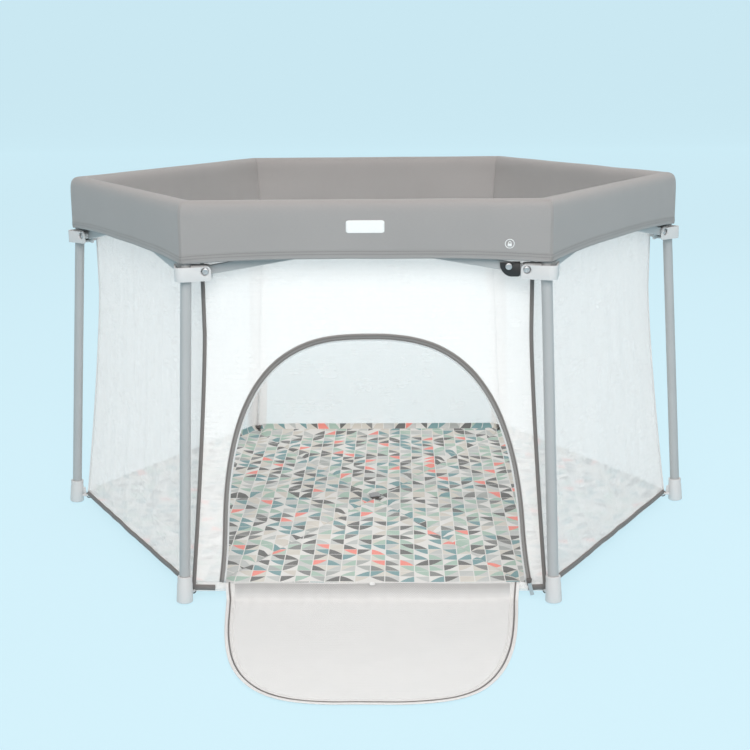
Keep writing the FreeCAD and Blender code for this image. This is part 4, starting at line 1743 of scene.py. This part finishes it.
@dataclass
class Frame(Assembly):
    """The folding frame.

    Legs, links, rivets and top brackets keep the frame's own shape; feet, screws, sliding brackets and
    the latch are modelled.
    """

    splay: float = math.radians(4.0)
    pin_reach: float = 0.030
    pin_face: float = 0.0101
    tab_bends: tuple[Uv, ...] = (
        (0.0075, 0.0205), (0.0105, 0.0213), (0.0140, 0.0205), (0.0162, 0.0180),
        (0.0160, 0.0150), (0.0135, 0.0128), (0.0100, 0.0120), (0.0070, 0.0128),
    )

    def build(self) -> None:
        """Dresses and completes the frame."""
        self._dress()
        self._brackets()
        self._feet()
        self._screws()
        self._latch()

    def _dress(self) -> None:
        """Finishes on the nodes that stay as they are."""
        for name, node in frame["nodes"].items():
            if name.startswith("leg_tube"):
                paint(node, self.finishes.tube)
            elif name.startswith(("outer_link", "inner_link")):
                paint(node, self.finishes.link)
            elif name.startswith(("lower_bolts", "latch_screw")):
                paint(node, self.finishes.steel)
            elif name.startswith("top_bracket"):
                paint(node, self.finishes.bracket)

    def _softened(self, node: str, name: str, width: float) -> Piece:
        """A copy of a frame node with its facets merged and its edges eased.

        Args:
            node: the frame node's name.
            name: the copy's name.
            width: the width of the eased edges.

        Returns:
            The copy.
        """
        twin = copied(frame["nodes"][node], name, Matrix.Identity(4))
        twin.parent = None
        twin.matrix_world = Matrix.Identity(4)
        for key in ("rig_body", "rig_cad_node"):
            if key in twin:
                del twin[key]
        edit_all(twin)
        bpy.ops.mesh.remove_doubles(threshold=0.00002)
        bpy.ops.mesh.dissolve_limited(angle_limit=math.radians(1.0))
        leave_edit()
        modify(twin, "BEVEL", width=width, segments=3, limit_method="ANGLE", angle_limit=math.radians(35))
        smooth_shade(twin, 40)
        return twin

    def _brackets(self) -> None:
        """The sliding brackets, with eased edges."""
        for corner in CORNERS:
            node, finish = "lower_bracket_" + corner, self.finishes.bracket
            bracket = self._softened(node, "sliding_bracket_" + corner, 0.0019)
            paint(bracket, finish)
            self.settle(bracket, "slide_" + corner, Slot.BRACKET, finish, [node])

    def _foot(self) -> Piece:
        """One foot at the origin of an upright leg, its axis on Z and the yard towards -X.

        Returns:
            The foot, as a model to copy.
        """
        body = primitive("cylinder", vertices=48, radius=0.0145, depth=0.046, location=(0, 0, 0.0250))
        edit_faces(body, lambda p: p.normal.z > 0.9)
        bpy.ops.transform.resize(value=(0.90, 0.90, 1), center_override=(0, 0, 0.048))
        bpy.ops.mesh.inset(thickness=0.0030)
        bpy.ops.transform.translate(value=(0, 0, -0.0008))
        leave_edit()
        edit_faces(body, lambda p: p.normal.z < -0.9)
        bpy.ops.mesh.inset(thickness=0.0022)
        bpy.ops.transform.translate(value=(0, 0, -0.0016))
        bpy.ops.mesh.inset(thickness=0.0030)
        leave_edit()
        for height in (0.0345, 0.0365):
            edit_all(body)
            bpy.ops.mesh.bisect(plane_co=(0, 0, height), plane_no=(0, 0, 1))
            leave_edit()
        for v in body.data.vertices:
            if 0.0350 < v.co.z < 0.0460 or abs(v.co.z - 0.0365) < 1e-5:
                v.co.x *= 0.955
                v.co.y *= 0.955
        modify(body, "BEVEL", width=0.0012, segments=3, limit_method="ANGLE", angle_limit=math.radians(30))
        arm = primitive("cube", size=1, location=(-0.0180, 0, 0.0150), scale=(0.0135, 0.0115, 0.0052))
        edit_faces(arm, lambda p: p.normal.x < -0.9)
        bpy.ops.transform.resize(value=(1, 0.72, 0.9), center_override=(-0.0248, 0, 0.0150))
        leave_edit()
        modify(arm, "BEVEL", width=0.0014, segments=3)
        web = primitive("cube", size=1, location=(-0.0165, 0, 0.0225), scale=(0.0080, 0.0028, 0.0120))
        edit_faces(web, lambda p: p.normal.z > 0.9)
        bpy.ops.transform.translate(value=(0.0030, 0, 0.0040))
        leave_edit()
        modify(web, "BEVEL", width=0.0006, segments=2)
        foot = joined([body, arm, web], "foot_model")
        smooth_shade(foot, 38)
        return foot

    def _feet(self) -> None:
        """Six feet with their cord loops and the cloth's corner tabs."""
        model = self._foot()
        up = Matrix.Translation((0, 0, self.layout.top_pivot))
        lean = up @ Matrix.Rotation(-self.splay, 4, "Y") @ up.inverted()
        for k, corner in enumerate(CORNERS):
            place = self.layout.corner_frame(k) @ lean
            foot = copied(model, f"moulded_foot_{corner}", place)
            paint(foot, self.finishes.bracket)
            self.settle(foot, "leg_" + corner, Slot.BRACKET, self.finishes.bracket, ["foot_" + corner])
            loop = primitive("torus", major_radius=0.0058, minor_radius=0.0012, major_segments=28,
                             minor_segments=10, location=(-0.0262, 0, 0.0152),
                             rotation=(math.radians(90), 0, 0))
            loop.data.transform(place)
            loop.name = f"cord_loop_{corner}"
            bpy.ops.object.shade_smooth()
            self.settle(loop, "leg_" + corner, Slot.BRACKET, self.finishes.cord)
            self._corner_tab(k, corner)
        bpy.data.objects.remove(model)

    def _corner_tab(self, k: int, corner: str) -> None:
        """The folded webbing that joins the cloth's corner to the cord loop.

        Args:
            k: the corner.
            corner: the corner's name.
        """
        path = [self.layout.corner_frame(k) @ Vector((x, 0, z)) for x, z in self.tab_bends]
        tangential = self.layout.corner_frame(k).to_3x3() @ Vector((0, 1, 0))
        ups = []
        for j in range(len(path)):
            along = path[min(j + 1, len(path) - 1)] - path[max(j - 1, 0)]
            ups.append(along.cross(tangential).normalized())
        tab = sweep(f"corner_tab_{corner}", path, ups, flat_profile(-0.0045, 0.0045, -0.0004, 0.0006))
        self.settle(tab, "corner_" + corner, Slot.MESH, self.finishes.taupe)

    def _screw(self) -> Piece:
        """One button-head screw with a star recess, its face towards -Y and its seat at the origin.

        Returns:
            The screw, as a model to copy.
        """
        head = primitive("cylinder", vertices=30, radius=0.0056, depth=0.0022, location=(0, -0.0011, 0),
                         rotation=(math.radians(90), 0, 0))
        edit_faces(head, lambda p: p.normal.y < -0.9)
        bpy.ops.mesh.inset(thickness=0.0014)
        bpy.ops.transform.translate(value=(0, -0.0006, 0))
        bpy.ops.mesh.inset(thickness=0.0018)
        leave_edit()
        for v in (v for v in head.data.vertices if v.select):
            angle = math.atan2(v.co.z, v.co.x)
            star = 1 + 0.16 * math.cos(6 * angle)
            v.co.x *= star
            v.co.z *= star
        select(head)
        bpy.ops.object.mode_set(mode="EDIT")
        bpy.ops.mesh.extrude_region_move(TRANSFORM_OT_translate={"value": (0, 0.0014, 0)})
        bpy.ops.object.mode_set(mode="OBJECT")
        modify(head, "BEVEL", width=0.0002, segments=2, limit_method="ANGLE", angle_limit=math.radians(30))
        smooth_shade(head, 35)
        head.name = "screw_model"
        return head

    def _screws(self) -> None:
        """A screw head on each lower pin's outer end, and on the latch."""
        model = self._screw()
        for k, corner in enumerate(CORNERS):
            for i, x in ((k, self.pin_reach), ((k - 1) % 6, self.layout.ring - self.pin_reach)):
                seat = Matrix.Translation((x, -self.pin_face, self.layout.low_pivot))
                spot = self.layout.side_frame(i) @ seat
                screw = copied(model, f"pin_head_{corner}_{SIDES[i]}", spot)
                self.settle(screw, "slide_" + corner, Slot.STEEL, self.finishes.steel)
        low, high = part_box("latch_screw")
        spot = Matrix.Translation(((low.x + high.x) / 2, low.y + 0.0016, (low.z + high.z) / 2))
        screw = copied(model, "latch_screw_head", spot)
        self.settle(screw, "outer_link_front", Slot.STEEL, self.finishes.steel)
        bpy.data.objects.remove(model)

    def _latch(self) -> None:
        """The black lever, with eased edges."""
        lever = self._softened("latch_lever", "latch_lever_moulded", 0.0009)
        paint(lever, self.finishes.black)
        self.settle(lever, "latch", Slot.LATCH, self.finishes.black, ["latch_lever"])


@dataclass(frozen=True)
class Studio:
    """The floor, the lights and the camera."""

    floor: Colour = (0.640, 0.868, 0.955)
    own_light: float = 0.86
    ground_reach: float = 40.0
    ground_back: float = 12.0
    ground_bend: float = 3.0
    ground_height: float = 12.0
    surround: Colour = (1.0, 0.975, 0.955)
    surround_strength: float = 0.28
    warmth: Colour = (1.0, 0.962, 0.940)
    camera_at: tuple[float, float, float] = (0.0604, -2.743, 0.9192)
    yaw: float = -1.2
    pitch: float = 13.128
    roll: float = -0.533
    lens: float = 63.89

    def build(self) -> None:
        """Builds the studio."""
        self._floor()
        self._lights()
        self._camera()

    def _floor(self) -> None:
        """A pale sweep: flat ground that curves up far behind."""
        points, faces = [], []
        reach, back, bend = self.ground_reach, self.ground_back, self.ground_bend
        rows = [(-reach, 0.0), (back, 0.0)]
        for q in range(1, 11):
            a = math.radians(9 * q)
            rows.append((back + bend * math.sin(a), bend - bend * math.cos(a)))
        rows.append((back + bend, self.ground_height))
        for y, z in rows:
            points += [Vector((-reach, y, z)), Vector((reach, y, z))]
        for r in range(len(rows) - 1):
            faces.append((2 * r, 2 * r + 1, 2 * r + 3, 2 * r + 2))
        ground = new_piece("studio_floor", points, faces)
        n = Nodes("studio_paper")
        dull = tuple(0.9 * (1 - self.own_light) * c for c in self.floor)
        colour = n.blend(n.grain(n.spot(), 1.5, 2.0), dull, tuple(1.03 * c for c in dull))
        glow = (*self.floor, 1.0)
        paint(ground, n.finish(colour, 0.95, Emission_Color=glow, Emission_Strength=self.own_light))

    def _lights(self) -> None:
        """Large soft lights above, in front and at the sides, and an even surround."""
        for name, at, aim, size, power in (
            ("key", (-0.2, -4.2, 3.3), (0, 0, 0.35), 3.2, 150.0),
            ("fill", (2.4, -3.0, 2.6), (0, 0, 0.3), 2.4, 30.0),
            ("top", (0.0, -0.3, 4.0), (0, 0, 0), 3.0, 50.0),
            ("back", (0.4, 3.0, 2.6), (0, 0, 0.4), 2.2, 16.0),
        ):
            light = bpy.data.lights.new(name, "AREA")
            light.size, light.energy, light.color = size, power, self.warmth
            lamp = bpy.data.objects.new(name, light)
            lamp.location = at
            lamp.rotation_euler = (Vector(aim) - Vector(at)).to_track_quat("-Z", "Y").to_euler()
            bpy.context.scene.collection.objects.link(lamp)
        world = bpy.data.worlds.new("studio")
        world.use_nodes = True
        surround = world.node_tree.nodes["Background"]
        surround.inputs[0].default_value = (*self.surround, 1.0)
        surround.inputs[1].default_value = self.surround_strength
        bpy.context.scene.world = world
        bpy.context.scene.view_settings.view_transform = "Standard"

    def _camera(self) -> None:
        """The camera, level but for its pitch and a slight roll."""
        yaw, pitch, roll = (math.radians(a) for a in (self.yaw, self.pitch, self.roll))
        ahead = Vector((math.sin(yaw) * math.cos(pitch), math.cos(yaw) * math.cos(pitch), -math.sin(pitch)))
        right = Vector((math.cos(yaw), -math.sin(yaw), 0))
        up = right.cross(ahead)
        side, top = right * math.cos(roll) + up * math.sin(roll), up * math.cos(roll) - right * math.sin(roll)
        data = bpy.data.cameras.new("view")
        data.sensor_width, data.lens = 36.0, self.lens
        data.clip_start, data.clip_end = 0.05, 120.0
        camera = bpy.data.objects.new("view", data)
        matrix = Matrix((side, top, -ahead)).transposed().to_4x4()
        matrix.translation = Vector(self.camera_at)
        camera.matrix_world = matrix
        bpy.context.scene.collection.objects.link(camera)
        bpy.context.scene.camera = camera


def main() -> None:
    """Builds the studio and every sub-assembly, and logs each piece's face count."""
    logging.basicConfig(level=logging.INFO, format="%(message)s")
    Studio().build()
    layout = Layout.read(frame["joints"])
    finishes = Finishes.make()
    for part in (Frame, FloorPad, Walls, FrontWall, DoorFlap, Rim):
        LOG.info("building %s", part.__name__)
        part(layout, finishes).build()


if __name__ == "__main__":
    main()
